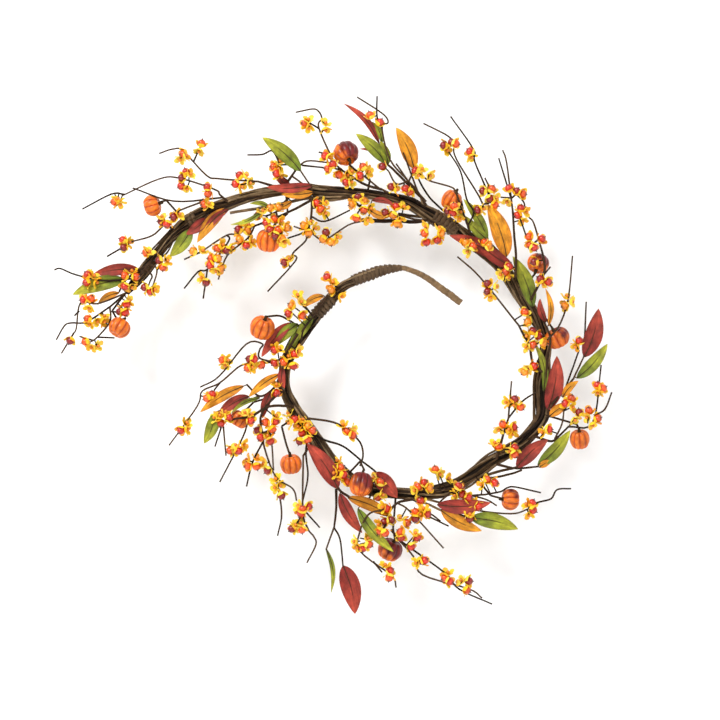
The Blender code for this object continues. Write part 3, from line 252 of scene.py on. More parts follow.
# Each pick: depth at its root, depth at its tips, the stem's route, its twigs, its berries and its leaves.
# A berry is its centre X and Z, its colour (d dark red, r red, o orange, a amber, y an open golden husk)
# and the direction it faces, in degrees from +X towards +Z. A leaf is its base, tip, width and colour.
PICKS = {
    "leaves_tail": (-8, -12, [(-262, 94), (-270, 90), (-283, 80), (-290, 68)], [], [], [
        (-270, 90, -316, 85, 12, "red"), (-284, 80, -336, 65, 15, "green"), (-290, 67, -311, 55, 7, "gold"),
    ]),
    "leaves_upper_left": (-8.5, -12.5, [(-184, 151), (-203, 142), (-218, 133)], [], [], [
        (-218, 130, -239, 103, 14, "green"), (-203, 141, -223, 125, 11, "red"),
        (-184, 151, -212, 117, 12, "gold"), (-181, 150, -207, 121, 8, "red"),
    ]),
    "leaves_top": (-8.5, -12.5, [(10, 163), (-3, 176), (-17, 190), (-24, 197), (-30, 212)], [
        [(-3, 176), (4, 190)],
    ], [], [
        (-31, 216, -66, 255, 7, "red"), (-28, 216, -38, 237, 6, "green"), (-24, 196, -54, 225, 13, "green"),
        (-22, 195, -30, 218, 9, "green"), (-28, 203, -50, 210, 4, "red"), (4, 190, -14, 231, 16, "gold"),
    ]),
    "leaves_upper_right": (-8.5, -12.5, [(106, 88), (96, 100), (78, 118)], [], [], [
        (77, 121, 53, 160, 10, "green"), (78, 119, 55, 143, 10, "green"), (96, 103, 77, 155, 19, "gold"),
        (103, 92, 64, 121, 13, "red"), (90, 100, 39, 124, 14, "red"),
    ]),
    "leaves_right": (-8.5, -12.5, [
        (138, -56), (136, -30), (136, 0), (138, 20), (134, 36), (122, 54),
    ], [], [], [
        (122, 53, 102, 103, 15, "green"), (137, 34, 134, 71, 6, "gold"), (135, 38, 129, 61, 7, "red"),
        (133, -31, 123, 18, 7, "green"), (137, -50, 146, 4, 17, "red"), (139, -56, 158, -43, 10, "gold"),
    ]),
    "leaves_lower_right": (-8.5, -12.5, [(86, -104), (106, -108), (128, -106)], [], [], [
        (106, -107, 137, -79, 15, "red"), (127, -105, 159, -70, 14, "green"),
        (129, -107, 141, -101, 7, "gold"),
    ]),
    "leaves_hanging": (9, 5, [(-74, -129), (-74, -150), (-76, -168)], [
        [(-76, -168), (-78, -178), (-84, -190)],
        [(-76, -168), (-70, -180), (-67, -195), (-67, -207)],
    ], [], [
        (-84, -189, -79, -233, 5, "green"), (-67, -206, -55, -254, 20, "red"),
    ]),
    "leaves_left": (-8.5, -12.5, [(-82, 65), (-98, 42), (-112, 34), (-119, 34)], [], [], [
        (-86, 64, -107, 52, 8, "gold"), (-119, 37, -148, 3, 12, "red"), (-112, 36, -135, 14, 12, "green"),
        (-113, 30, -125, 6, 8, "green"), (-97, 43, -114, 17, 10, "green"),
    ]),
    "leaves_left_low": (-8.5, -12.5, [(-128, -12), (-136, -28), (-150, -36), (-163, -24)], [
        [(-150, -36), (-194, -52)],
    ], [], [
        (-130, -14, -161, -37, 9, "gold"), (-127, -8, -125, -28, 8, "red"),
        (-166, -26, -209, -52, 11, "gold"), (-161, -36, -191, -54, 12, "red"),
        (-150, -38, -178, -53, 5, "green"), (-139, -32, -147, -58, 9, "red"),
        (-193, -52, -205, -83, 13, "green"),
    ]),
    "leaves_bottom": (-8.5, -12.5, [
        (-80, -112), (-71, -129), (-60, -137), (-48, -146), (-40, -136), (-36, -118),
    ], [], [], [
        (-72, -128, -103, -83, 18, "red"), (-37, -113, -13, -137, 17, "red"),
        (-70, -133, -48, -172, 13, "red"), (-62, -137, -17, -157, 12, "gold"),
        (-52, -148, -17, -190, 12, "green"),
    ]),
    "right_pick": (-8.5, -14, [(141, -44), (155, -28), (163, -18)], [
        [(163, -18), (168, -5), (173, 4)],
        [(155, -28), (162, -5), (168, 10)],
        [(173, 4), (174, 30), (175, 58)],
    ], [
        (168, 19, "r", 90), (164, 13, "y", 230),
    ], [
        (173, 3, 187, 51, 18, "red"), (166, -18, 196, 16, 13, "green"), (152, -37, 167, -21, 8, "gold"),
    ]),
    "pick_top_left": (-7, -14, [(-122, 178), (-114, 189)], [
        [(-90, 163), (-98, 170), (-104, 181), (-109, 188)],
        [(-114, 189), (-119, 194), (-130, 194)],
        [(-130, 194), (-132, 201), (-137, 208), (-147, 204.5), (-162, 204)],
        [(-114, 189), (-109, 195), (-103, 198), (-90, 196.5), (-80, 196)],
        [(-109, 195), (-100, 193.5), (-83, 191)],
    ], [
        (-136, 192, "o", 180), (-129, 198, "y", 100), (-131, 190, "y", 250), (-133, 185, "r", 170),
        (-128, 182, "y", 300),
    ], [
        (-109, 188, -147, 221, 15, "green"), (-98, 174, -143, 172, 10, "red"),
        (-97, 167, -128, 165, 9, "gold"), (-120, 175, -134, 184, 7, "red"),
    ]),
    "pick_bottom_right": (-8.5, -14, [(40, -131), (52, -136), (62, -135), (75, -134)], [
        [(40, -131), (29, -146), (60, -157)],
        [(75, -134), (90, -131), (97, -127), (105, -126.5), (115, -130), (130, -132)],
        [(62, -135), (70, -137), (76, -139), (86, -145)],
        [(56, -136), (60, -148), (71, -151), (85, -152), (100, -153), (110, -150), (118, -148)],
        [(118, -148), (126, -142), (140, -138), (146, -129), (160, -128)],
    ], [
        (115, -143, "y", 150), (121, -142, "r", 60), (122, -149, "r", 330), (118, -155, "y", 270),
        (68, -146, "r", 320), (62, -142, "y", 130), (59, -158, "d", 270), (59, -153, "y", 90),
        (52, -134, "r", 180), (58, -137, "r", 0), (51, -126, "d", 0), (44, -135, "y", 200),
        (45, -128, "y", 120),
    ], [
        (27, -144, 80, -142, 15, "red"), (31, -150, 71, -170, 13, "gold"),
        (60, -157, 107, -168, 16, "green"),
    ]),
    "spray_tail": (-7.5, -15, [(-256, 101), (-268, 86), (-281, 69), (-291, 60), (-299, 53)], [
        [(-284, 67), (-297, 63), (-310, 56), (-320, 56), (-328, 57), (-330, 45), (-332, 32), (-335, 26)],
        [(-331, 49), (-334, 44)],
        [(-299, 53), (-312, 45), (-322, 38), (-337, 37), (-344, 34), (-349, 27), (-352, 20)],
        [(-299, 53), (-298, 45), (-299, 38), (-304, 30), (-308, 25), (-312, 22), (-320, 17)],
        [(-312, 22), (-304, 23), (-294, 22)],
        [(-316, 20), (-322, 22), (-329, 23.5)],
        [(-335, 26), (-340, 18), (-347, 6.5)],
        [(-272, 82), (-290, 80), (-305, 79), (-318, 81), (-333, 85), (-342, 90), (-348, 91), (-354, 89.5)],
        [(-264, 91), (-257, 84), (-259, 77.5)],
        [(-260, 96), (-252, 90), (-254, 81), (-256, 73)],
        [(-256, 101), (-247, 103), (-241, 108), (-236, 118)],
    ], [
        (-325, 60, "r", 190), (-317, 61, "o", 60), (-319, 51, "y", 250), (-321, 41, "o", 170),
        (-319, 35, "y", 240), (-311, 38, "y", 300), (-304, 38, "y", 330), (-304, 44, "y", 80),
        (-338, 19, "d", 250), (-323, 18, "o", 200), (-317, 12, "y", 260), (-310, 14, "y", 350),
        (-289, 48, "d", 190), (-283, 47, "r", 300), (-279, 59, "y", 20), (-282, 55, "r", 280),
        (-321, 85, "r", 135), (-322, 77, "r", 200), (-314, 84, "y", 60), (-311, 77, "y", 330),
        (-284, 84, "o", 170), (-277, 89, "y", 90), (-273, 83, "o", 0), (-284, 73, "r", 250),
        (-277, 72, "y", 300), (-246, 92, "o", 270), (-241, 99, "y", 20), (-250, 99, "d", 180),
        (-264, 72, "d", 190), (-258, 68, "r", 310), (-253, 70, "y", 350),
    ], []),
    "spray_tail_upper": (-7.5, -11, [(-236, 131), (-246, 135)], [
        [(-246, 135), (-250, 129), (-257, 124), (-265, 121.5), (-277, 118)],
        [(-277, 118), (-290, 110), (-302, 103)],
        [(-240, 125), (-252, 113), (-259, 108)],
    ], [
        (-286, 119.5, "r", 160), (-285, 112, "d", 220), (-279, 117, "y", 0), (-248, 138, "d", 180),
        (-242, 135, "r", 250), (-247, 143, "y", 100), (-263, 107, "o", 190), (-259, 108, "y", 60),
    ], []),
    "spray_upper_left_high": (-7, -13, [(-138, 174), (-152, 178)], [
        [(-152, 178), (-165, 179), (-178, 180), (-190, 180.5), (-203, 184), (-208, 189), (-216, 198),
        (-226, 208), (-236, 210), (-250, 205.5)],
        [(-215, 198), (-211, 206), (-209, 212)],
        [(-154, 178), (-161, 175.5), (-170, 174)],
    ], [
        (-207.5, 215.5, "o", 75), (-210, 207, "y", 250), (-226, 205, "o", 200), (-229, 199, "y", 250),
        (-222, 203, "y", 20), (-170, 184, "r", 150), (-163, 184, "y", 30), (-174, 175, "r", 190),
        (-167, 172, "y", 330), (-159, 176, "y", 0),
    ], []),
    "spray_upper_left_low": (-8.5, -16, [(-182, 158), (-190, 165)], [
        [(-190, 165), (-195, 170), (-206, 174), (-222, 179), (-230, 181), (-240, 181), (-250, 180),
        (-260, 177), (-276, 168), (-287, 163)],
        [(-284, 165), (-297, 165), (-305, 161), (-326, 150)],
        [(-188, 160), (-198, 160), (-210, 159.5), (-225, 158.5), (-235, 158), (-250, 162.5), (-264, 166),
        (-276, 171)],
        [(-198, 160), (-211, 155), (-222, 152), (-231, 148), (-240, 141)],
    ], [
        (-223, 187, "r", 110), (-227, 181, "d", 180), (-228, 173, "r", 210), (-218, 185, "y", 30),
        (-222, 170, "y", 260), (-202, 172, "r", 140), (-201, 165, "o", 230), (-294, 157, "o", 190),
        (-290, 160, "y", 80), (-288, 154, "y", 300), (-205, 155, "o", 200), (-200, 156, "y", 30),
        (-235, 142, "d", 190), (-229, 145, "y", 20),
    ], []),
    "spray_inner_left": (-8.5, -14, [(-98, 160), (-110, 153), (-122, 147), (-143, 138), (-165, 130)], [
        [(-165, 130), (-172, 125), (-183, 124), (-196, 117), (-209, 107)],
        [(-183, 124), (-181, 118), (-190, 106), (-201, 91), (-211, 88), (-218, 81), (-225, 71)],
        [(-201, 91), (-203, 78), (-206, 61)],
        [(-155, 134), (-162, 121), (-170, 113), (-182, 104), (-186, 95), (-191, 80)],
        [(-209, 107), (-217, 102), (-225, 100)],
    ], [
        (-216, 108, "a", 170), (-206, 109, "y", 60), (-192, 111, "o", 230), (-186, 115, "y", 20),
        (-183, 109, "d", 270), (-177, 112, "y", 330), (-198, 101, "o", 180), (-191, 101, "a", 20),
        (-199, 94, "r", 200), (-188, 91, "a", 330), (-193, 88, "y", 250), (-203, 77, "d", 250),
        (-208, 82, "y", 160), (-163, 114, "r", 290), (-157, 118, "y", 20), (-171, 130, "d", 170),
        (-162, 129, "a", 20), (-165, 136, "y", 100), (-170, 120, "a", 220), (-161, 135, "y", 70),
    ], []),
    "spray_inner_pumpkin": (-8.5, -24, [(-121, 162), (-127, 155), (-134, 147), (-144, 143)], [
        [(-134, 147), (-131, 136), (-127, 124)],
        [(-138, 147), (-144, 151)],
    ], [
        (-143, 136, "r", 200), (-135, 140, "o", 40), (-128, 138, "y", 350), (-131, 129, "o", 230),
        (-139, 129, "r", 210), (-134, 123, "d", 250), (-127, 120, "a", 300), (-124, 116, "y", 280),
        (-122, 131, "a", 0), (-151, 144, "d", 170), (-146, 148, "y", 110), (-139, 151, "a", 90),
        (-131, 152, "a", 40),
    ], [
        (-145, 149, -178, 134, 5, "green"), (-140, 152, -159, 155, 5, "green"),
        (-118, 158, -136, 151, 7, "gold"),
    ]),
    "spray_inner_top": (-8.5, -14, [(-98, 162), (-98, 152), (-99, 141), (-101, 132)], [
        [(-100.6, 134), (-106, 130), (-116, 133)],
        [(-101, 132), (-106, 127), (-122, 121)],
        [(-101, 132), (-104, 119), (-114, 110), (-117, 106), (-114, 99), (-121, 90), (-142, 68)],
        [(-101, 132), (-94, 123), (-84, 120), (-73, 127), (-62, 134), (-48, 138)],
        [(-99, 143), (-85, 138), (-75, 142), (-60, 149)],
    ], [
        (-106, 134, "a", 150), (-99, 138, "y", 60), (-94, 131, "y", 0), (-101, 126, "a", 270),
        (-125, 97, "d", 200), (-120, 101, "y", 120), (-84, 127, "d", 120), (-87, 120, "a", 230),
        (-79, 117, "a", 280), (-72, 122, "y", 330), (-93, 156, "r", 0), (-89, 150, "o", 320),
        (-84, 157, "y", 30), (-84, 146, "y", 330),
    ], []),
    "spray_top": (-6.5, -17, [(-28, 170), (-45, 175), (-60, 184), (-68, 189)], [
        [(-68, 189), (-76, 198), (-85, 216), (-91, 231), (-88, 240), (-91, 247), (-97, 249.5), (-114, 246)],
        [(-91, 231), (-99, 235)],
        [(-80, 204), (-91, 206.5)],
        [(-30, 171), (-40, 180), (-50, 186)],
        [(-68, 189), (-78, 191)],
    ], [
        (-105, 235, "o", 180), (-101, 239, "y", 90), (-101, 230, "y", 270), (-84, 236, "y", 60),
        (-84, 228, "y", 290), (-85, 203, "r", 150), (-80, 201, "y", 330), (-82, 190, "o", 180),
        (-77, 194, "r", 120), (-71, 184, "o", 250), (-62, 184, "y", 0), (-58, 188, "y", 40),
        (-64, 177, "r", 210), (-58, 177, "y", 0), (-50, 183, "r", 0), (-47, 192, "o", 130),
        (-41, 187, "y", 0),
    ], []),
    "spray_vine_top": (-8.5, -13, [(-62, 163), (-48, 152), (-30, 146), (-10, 144), (5, 140), (20, 139)], [
        [(20, 139), (17, 130), (15, 121)],
        [(20, 139), (28, 133), (27, 124)],
        [(-48, 152), (-53, 145)],
    ], [
        (-58, 155, "a", 200), (-46, 159, "a", 60), (-52, 162, "d", 100), (-46, 149, "o", 260),
        (-39, 151, "y", 350), (-54, 141, "o", 250), (-42, 139, "y", 280), (-14, 153, "r", 90),
        (-6, 153, "y", 60), (-17, 144, "a", 240), (-25, 147, "d", 160), (-10, 139, "y", 290),
        (-13, 135, "a", 270), (15, 133, "y", 200), (14, 126, "o", 200), (16, 117, "r", 270),
        (29, 132, "y", 60), (31, 126, "a", 350), (27, 119, "r", 270),
    ], [
        (-40, 149, -20, 143, 8, "gold"), (-38, 159, -16, 154, 6, "red"),
    ]),
    "spray_top_fan": (-8.5, -20, [(16, 154), (7, 168), (-2, 178)], [
        [(-2, 178), (-10, 188), (-20, 199), (-26, 220), (-28, 230), (-22, 236), (-23, 240), (-28, 245),
        (-36, 250), (-53, 261)],
        [(-28, 230), (-33, 242), (-34, 252), (-33, 262)],
        [(7, 168), (2, 180), (-2, 190), (-7, 206)],
        [(-2, 178), (-14, 175), (-22, 188)],
    ], [
        (-40, 243, "o", 110), (-30, 236, "r", 60), (-28, 192, "d", 160), (-19, 172, "d", 170),
        (-13, 169, "y", 0), (-1, 167, "o", 240), (-5, 170, "r", 120),
    ], []),
    "spray_upper_right": (-8.5, -18, [(62, 120), (57, 134), (52, 148)], [
        [(52, 148), (48, 159), (45, 166), (40, 172), (29, 173.5), (19, 178), (11, 184)],
        [(57, 134), (63, 147), (56, 160), (54, 172), (50, 187), (43, 197), (38, 207)],
        [(63, 147), (72, 155), (66, 165), (57, 182), (46, 199), (43, 213)],
        [(43, 213), (38, 222), (30, 227), (13, 235)],
        [(72, 155), (79, 160), (69, 185), (64, 197), (63, 209), (52, 226), (40, 242)],
        [(79, 160), (78, 172), (74, 181)],
    ], [
        (5, 188, "r", 160), (12, 190, "y", 60), (8, 183, "y", 270), (20, 183, "y", 330), (37, 148, "d", 200),
        (42, 146, "r", 230), (43, 152, "o", 100), (50, 147, "y", 20), (49, 140, "y", 280),
        (33, 213, "d", 190), (37, 208, "y", 330), (41, 216, "d", 100), (45, 214, "o", 350),
        (59, 207, "r", 140), (61, 201, "y", 300), (81, 170, "o", 60), (72, 168, "d", 180),
        (79, 160, "d", 280), (86, 161, "y", 20), (84, 154, "o", 340), (67, 149, "d", 200), (73, 150, "y", 0),
    ], []),
    "spray_shoulder": (-8.5, -13, [(104, 82), (105, 105), (104, 120), (103, 135), (102, 150)], [
        [(102, 150), (101, 161), (99, 172), (96, 196), (92, 209)],
        [(101, 161), (96, 178), (88, 201)],
        [(101, 161), (106, 164), (110, 162), (113, 157), (114, 150)],
        [(101, 161), (90, 162)],
    ], [
        (98, 171, "r", 120), (106, 168, "d", 60), (112, 165, "o", 350), (96, 157, "y", 250),
        (110, 151, "r", 80), (107, 144, "r", 200), (116, 147, "y", 350), (112, 138, "y", 290),
    ], []),
    "spray_right_top": (-8.5, -31, [(120, 60), (131, 84), (132, 97), (130, 110)], [
        [(130, 110), (126, 125), (122, 135), (117, 141)],
        [(126, 119), (118, 116), (112, 127), (108, 140)],
        [(131, 84), (138, 92)],
    ], [
        (117, 122, "o", 150), (118, 114, "o", 250), (122, 111, "r", 300), (130, 120, "r", 30),
        (128, 80, "d", 150), (136, 77, "r", 350), (131, 75, "y", 280), (122, 97, "d", 200),
    ], []),
    "spray_inner_right": (-8.5, -10, [(131, -12), (122, -3), (119, 14), (113, 25), (108, 35)], [
        [(108, 35), (100, 47), (88, 62), (80, 72), (70, 82), (47, 103)],
    ], [
        (77, 76, "d", 120), (77, 68, "d", 190), (80, 62, "y", 270), (86, 73, "y", 0), (123, -6, "r", 20),
        (117, -9, "y", 220), (117, 38, "a", 150), (114, 48, "o", 60), (128, 24, "r", 0), (122, 29, "d", 60),
        (116, 24, "y", 200), (132, 17, "a", 350), (122, 15, "o", 330), (115, 13, "y", 190),
        (113, -12, "a", 220),
    ], []),
    "spray_right_low": (-8.5, -13, [(124, -76), (141, -81), (149, -75), (158, -66)], [
        [(144, -79), (151, -64), (153, -50)],
        [(158, -66), (174, -64), (181, -62), (183, -52), (185, -36), (187, -18), (190, -5)],
        [(183, -55), (193, -49), (200, -32)],
        [(158, -66), (162, -59)],
    ], [
        (154, -43, "r", 150), (160, -38, "o", 80), (162, -47, "y", 0), (168, -52, "d", 100),
        (164, -60, "y", 300), (186, -25, "r", 90), (191, -28, "o", 30), (186, -33, "y", 250),
        (177, -50, "o", 100), (175, -57, "y", 200), (186, -58, "o", 20), (181, -65, "y", 300),
        (138, -69, "r", 0), (131, -72, "y", 180),
    ], []),
    "spray_inner_low": (-8.5, -10, [(86, -99), (90, -85), (94, -70), (98, -58)], [
        [(98, -58), (100, -45), (101, -21)],
        [(98, -58), (105, -50), (112, -41), (126, -32)],
        [(89, -90), (99, -89)],
    ], [
        (104, -39, "d", 70), (103, -45, "y", 260), (95, -42, "y", 180), (110, -47, "o", 320),
        (92, -64, "o", 110), (88, -70, "y", 250), (103, -67, "r", 0), (98, -69, "y", 200),
        (102, -74, "y", 280), (88, -86, "o", 90), (84, -82, "y", 100), (104, -87, "r", 45),
        (99, -91, "y", 225), (104, -94, "o", 300),
    ], []),
    "spray_bottom": (-8.5, -18, [(2, -139), (-12, -142), (-20, -150), (-22, -160)], [
        [(-12, -142), (0, -151), (10, -163), (20, -174), (33, -187)],
        [(0, -151), (14, -154), (38, -165)],
        [(14, -154), (20, -153), (30, -160)],
        [(-20, -150), (-40, -152), (-50, -170), (-50, -190), (-40, -198), (-24, -210), (-19, -214),
        (-14, -226)],
        [(-37, -200), (-28, -211)],
    ], [
        (-26, -161, "d", 200), (-19, -159, "d", 30), (-23, -148, "r", 160), (-28, -146, "y", 180),
        (-32, -163, "y", 190), (-30, -170, "o", 230), (-25, -171, "o", 300), (-10, -157, "y", 90),
        (-3, -162, "o", 0), (5, -151, "o", 100), (5, -158, "d", 260), (10, -153, "y", 180),
        (17, -153, "r", 0), (13, -147, "y", 90), (10, -140, "r", 90), (-56, -180, "y", 170),
        (-53, -186, "y", 220), (-47, -187, "r", 270), (-41, -183, "o", 330), (-42, -177, "y", 30),
        (-20, -209, "r", 30), (-21, -216, "o", 260), (-25, -203, "y", 90),
    ], []),
    "spray_lower_trail": (-27, -17, [(-19, -168), (-12, -178)], [
        [(-12, -178), (-5, -187), (3, -195), (8, -205), (12, -213), (25, -219), (45, -224), (58, -227),
        (71, -236)],
        [(-12, -178), (8, -190), (22, -201), (34, -211), (48, -227), (60, -234), (81, -242)],
    ], [
        (10, -199, "d", 300), (5, -201, "y", 200), (14, -198, "r", 30), (34, -216, "o", 200),
        (37, -210, "y", 90), (39, -219, "r", 340), (50, -218, "y", 150), (58, -219, "d", 0),
        (56, -228, "o", 330), (7, -176, "r", 300), (5, -171, "y", 80), (1, -185, "r", 310),
        (-9, -176, "r", 270), (-10, -170, "o", 150),
    ], []),
    "spray_left_trail": (-8.5, -11, [(-99, -84), (-107, -96)], [
        [(-107, -96), (-107, -120), (-106, -140), (-107, -150), (-105, -158), (-102, -168), (-96, -176),
        (-94, -184), (-97, -192), (-103, -202)],
        [(-106, -148), (-90, -167)],
        [(-107, -152), (-112, -161)],
    ], [
        (-101, -146, "r", 350), (-109, -153, "r", 240), (-107, -148, "o", 90), (-112, -145, "y", 150),
        (-118, -168, "d", 220), (-114, -164, "y", 60), (-108, -169, "o", 280), (-109, -162, "y", 90),
    ], []),
    "spray_left_hanging": (-8.5, -14, [(-126, -30), (-140, -42), (-149, -58), (-146, -78)], [
        [(-146, -78), (-145, -88), (-138, -107), (-134, -116), (-123, -122), (-117, -128), (-113, -140)],
        [(-147, -80), (-152, -90), (-157, -102), (-163, -126)],
        [(-134, -116), (-131, -128), (-129, -141), (-128, -152), (-132, -175)],
        [(-146, -72), (-139, -74), (-138, -98), (-136, -110)],
    ], [
        (-134, -118, "y", 120), (-129, -125, "y", 350), (-135, -127, "y", 200), (-128, -135, "d", 300),
        (-142, -110, "d", 220), (-146, -103, "y", 150), (-152, -97, "y", 60), (-162, -105, "o", 200),
        (-163, -99, "y", 150), (-153, -106, "o", 290), (-152, -70, "d", 150), (-149, -77, "r", 240),
        (-139, -81, "r", 300), (-142, -75, "y", 100), (-134, -61, "r", 350), (-133, -55, "y", 60),
        (-144, -62, "o", 200), (-137, -69, "o", 300), (-133, -33, "r", 300), (-133, -24, "y", 90),
    ], []),
    "spray_left": (-8.5, -15, [(-112, 26), (-126, 4), (-138, -2), (-162, -3)], [
        [(-162, -3), (-171, -7), (-184, -18), (-190, -23), (-200, -26), (-207, -31), (-212, -46),
        (-222, -60), (-231, -73), (-240, -85)],
        [(-190, -23), (-195, -30)],
        [(-138, -2), (-150, 2), (-150, 10), (-147, 16), (-163, 16), (-180, -4), (-190, -16), (-200, -22),
        (-209, -27)],
    ], [
        (-228, -70, "r", 240), (-222, -62, "y", 40), (-221, -69, "y", 0), (-197, -34, "r", 90),
        (-202, -38, "o", 200), (-160, 1, "d", 170), (-155, 1, "r", 0), (-162, -8, "o", 220),
        (-157, -7, "y", 0), (-148, -5, "o", 300), (-187, 0, "o", 160), (-184, -6, "y", 260),
        (-181, 0, "y", 0), (-135, 10, "r", 200), (-130, 12, "y", 40), (-135, -3, "r", 220),
        (-126, -2, "o", 200), (-121, 4, "y", 100), (-115, 6, "r", 60), (-110, 9, "y", 0),
        (-116, -6, "r", 280),
    ], []),
    "spray_left_low": (-8.5, -20, [(-116, -46), (-140, -46), (-158, -56), (-172, -58), (-187, -62)], [
        [(-186, -64), (-184, -80), (-183, -95)],
        [(-187, -62), (-191, -78), (-194, -86)],
        [(-160, -58), (-166, -76), (-174, -90), (-182, -107), (-189, -121)],
    ], [
        (-195, -57, "y", 170), (-189, -55, "y", 90), (-188, -63, "r", 260), (-180, -57, "r", 20),
        (-183, -51, "y", 90), (-164, -52, "y", 100), (-157, -54, "y", 30), (-158, -60, "r", 330),
        (-179, -90, "o", 200), (-170, -90, "r", 310), (-173, -84, "y", 130), (-164, -84, "y", 0),
    ], []),
}


class Space:
    """What is already in place, as rows of x, y, z and radius. Later pieces settle in front of it."""

    def __init__(self):
        self.balls = np.zeros((0, 4))
        self.near = self.balls

    def add(self, balls):
        self.balls = np.vstack([self.balls, np.array(balls)])

    def look_near(self, points):
        """Narrows the search to the balls around these points."""
        places = np.array([(point[0], point[2]) for point in points])
        low = places.min(axis=0) - SEARCH_MARGIN
        high = places.max(axis=0) + SEARCH_MARGIN
        flat = self.balls[:, [0, 2]]
        self.near = self.balls[((flat > low) & (flat < high)).all(axis=1)]

    def clear_depth(self, x, depth, z, radius):
        """The first depth from the given one forwards where a ball touches nothing."""
        flat = np.hypot(self.near[:, 0] - x, self.near[:, 2] - z)
        reach = self.near[:, 3] + radius + GAP
        hits = flat < reach
        half = np.sqrt(reach[hits] ** 2 - flat[hits] ** 2)
        fronts = self.near[hits, 1] - half
        backs = self.near[hits, 1] + half
        for _ in range(len(fronts)):
            blocked = (fronts < depth - 1e-6) & (depth < backs)
            if not blocked.any():
                break
            depth = fronts[blocked].min()
        return depth


def along(points, radius, step):
    """Balls along a route, close enough together to stand for its tube."""
    balls = []
    for start, end in zip(points, points[1:]):
        start, end = Vector(start), Vector(end)
        count = max(1, math.ceil((end - start).length / step))
        balls += [(*start.lerp(end, k / count), radius) for k in range(count + 1)]
    return balls


def settle(space, route, radius, first_is_fixed):
    """Bends a route forwards until its tube clears what is in place. The first point may be fixed."""
    for _ in range(60):
        moved = False
        for start, end in zip(route, route[1:]):
            count = max(2, math.ceil((end - start).length / 1.5))
            for k in range(count + 1):
                share = k / count
                at = start.lerp(end, share)
                push = at.y - space.clear_depth(at.x, at.y, at.z, radius)
                if push < CLOSE_ENOUGH:
                    continue
                moved = True
                if first_is_fixed and start is route[0]:
                    end.y -= push / max(share, 0.35)
                else:
                    weight = (1 - share) ** 2 + share**2
                    start.y -= push * (1 - share) / weight
                    end.y -= push * share / weight
        for first, second in list(zip(route, route[1:])) + list(zip(route[::-1], route[-2::-1])):
            steepest = MOST_SLOPE * math.hypot(second.x - first.x, second.z - first.z)
            if second.y > first.y + steepest and not (first_is_fixed and second is route[0]):
                second.y = first.y + steepest
                moved = True
        if not moved:
            break


def outward(side, up, turn):
    """The direction that a turn gives between two directions across an axis."""
    return side * math.cos(turn) + up * math.sin(turn)


def sides_of(axis):
    """Two directions across an axis."""
    side = axis.orthogonal().normalized()
    return side, axis.cross(side)


def nearest_index(points, place):
    """Which of the points is nearest to a place."""
    return min(range(len(points)), key=lambda k: (points[k] - place).length)


def pumpkin_axis(turn, lean):
    """The direction of a pumpkin's stem."""
    turn, lean = math.radians(turn), math.radians(lean)
    return Vector((math.cos(turn) * math.cos(lean), -math.sin(lean), math.sin(turn) * math.cos(lean)))


def pumpkin_balls(centre, axis, width, height):
    """Balls that stand for the fruit."""
    side = axis.cross(Vector((0.3, 0.9, 0.1))).normalized()
    other = axis.cross(side)
    small = min(width, height) / 2
    spread = max(width - height, 0) / 2
    balls = [(*centre, small)]
    for k in range(10):
        offset = outward(side, other, math.tau * k / 10) * (spread + 0.3)
        balls.append((*(centre + offset), small))
    rise = max(height - width, 0) / 2
    balls += [(*(centre + axis * rise), small), (*(centre - axis * rise), small)]
    return balls


def stem_route(space, root, tip, stem):
    """A pick's stem: it lies on what is behind it and comes forwards towards its tip."""
    route = []
    for number, (x, z) in enumerate(stem):
        share = number / (len(stem) - 1)
        route.append(Vector((x, root + (tip - root) * share * 0.5, z)))
    space.look_near(route)
    settle(space, route, STEM_RADIUS, False)
    return route


def nearest_on(routes, x, z):
    """The place on a pick's routes nearest to a berry or a leaf."""
    best = None
    for route in routes:
        for start, end in zip(route, route[1:]):
            span = Vector((end.x - start.x, end.z - start.z))
            share = Vector((x - start.x, z - start.z)).dot(span) / max(span.length_squared, 1e-9)
            inset = min(END_INSET / max((end - start).length, 1e-9), 0.4)
            at = start.lerp(end, min(max(share, inset), 1 - inset))
            distance = math.hypot(at.x - x, at.z - z)
            if best is None or distance < best[0]:
                best = (distance, at)
    return best[1]


def thin_out(points):
    """The points without those that lie close to the straight line between their neighbours."""
    kept = [points[0]]
    for point, after in zip(points[1:], points[2:]):
        before = kept[-1]
        line = Vector(after) - Vector(before)
        off_line = abs(line.cross(Vector(point) - Vector(before))) / max(line.length, 1e-9)
        if off_line > STRAIGHT_ENOUGH:
            kept.append(point)
    return kept + [points[-1]]


def twig_routes(space, tip, stem, twigs):
    """The twigs, each starting on the stem or on an earlier twig."""
    routes = [stem]
    for twig in map(thin_out, twigs):
        start = nearest_on(routes, *twig[0])
        reach = sum(math.dist(first, second) for first, second in zip(twig, twig[1:]))
        route = [start.copy()]
        done = 0.0
        for first, second in zip(twig, twig[1:]):
            done += math.dist(first, second)
            depth = start.y + (min(tip, start.y) - start.y) * min(1.0, done / reach)
            route.append(Vector((second[0], depth, second[1])))
        space.look_near(route)
        settle(space, route, TWIG_RADIUS, True)
        routes.append(route)
    return routes


def leaf_points(base, tip, width, across_count=3):
    """Balls over a leaf, for finding its place."""
    span = tip - base
    side = Vector((-span.z, 0, span.x)).normalized()
    points = []
    steps = max(3, math.ceil(span.length / 3))
    for k in range(steps + 1):
        share = k / steps
        half = width / 2 * np.interp(share, *zip(*LEAF_SHAPE))
        for place in np.linspace(-1, 1, across_count + 2 * (half > 3)):
            points.append((*(base.lerp(tip, share) + side * (half * place)), 0.9))
    return points


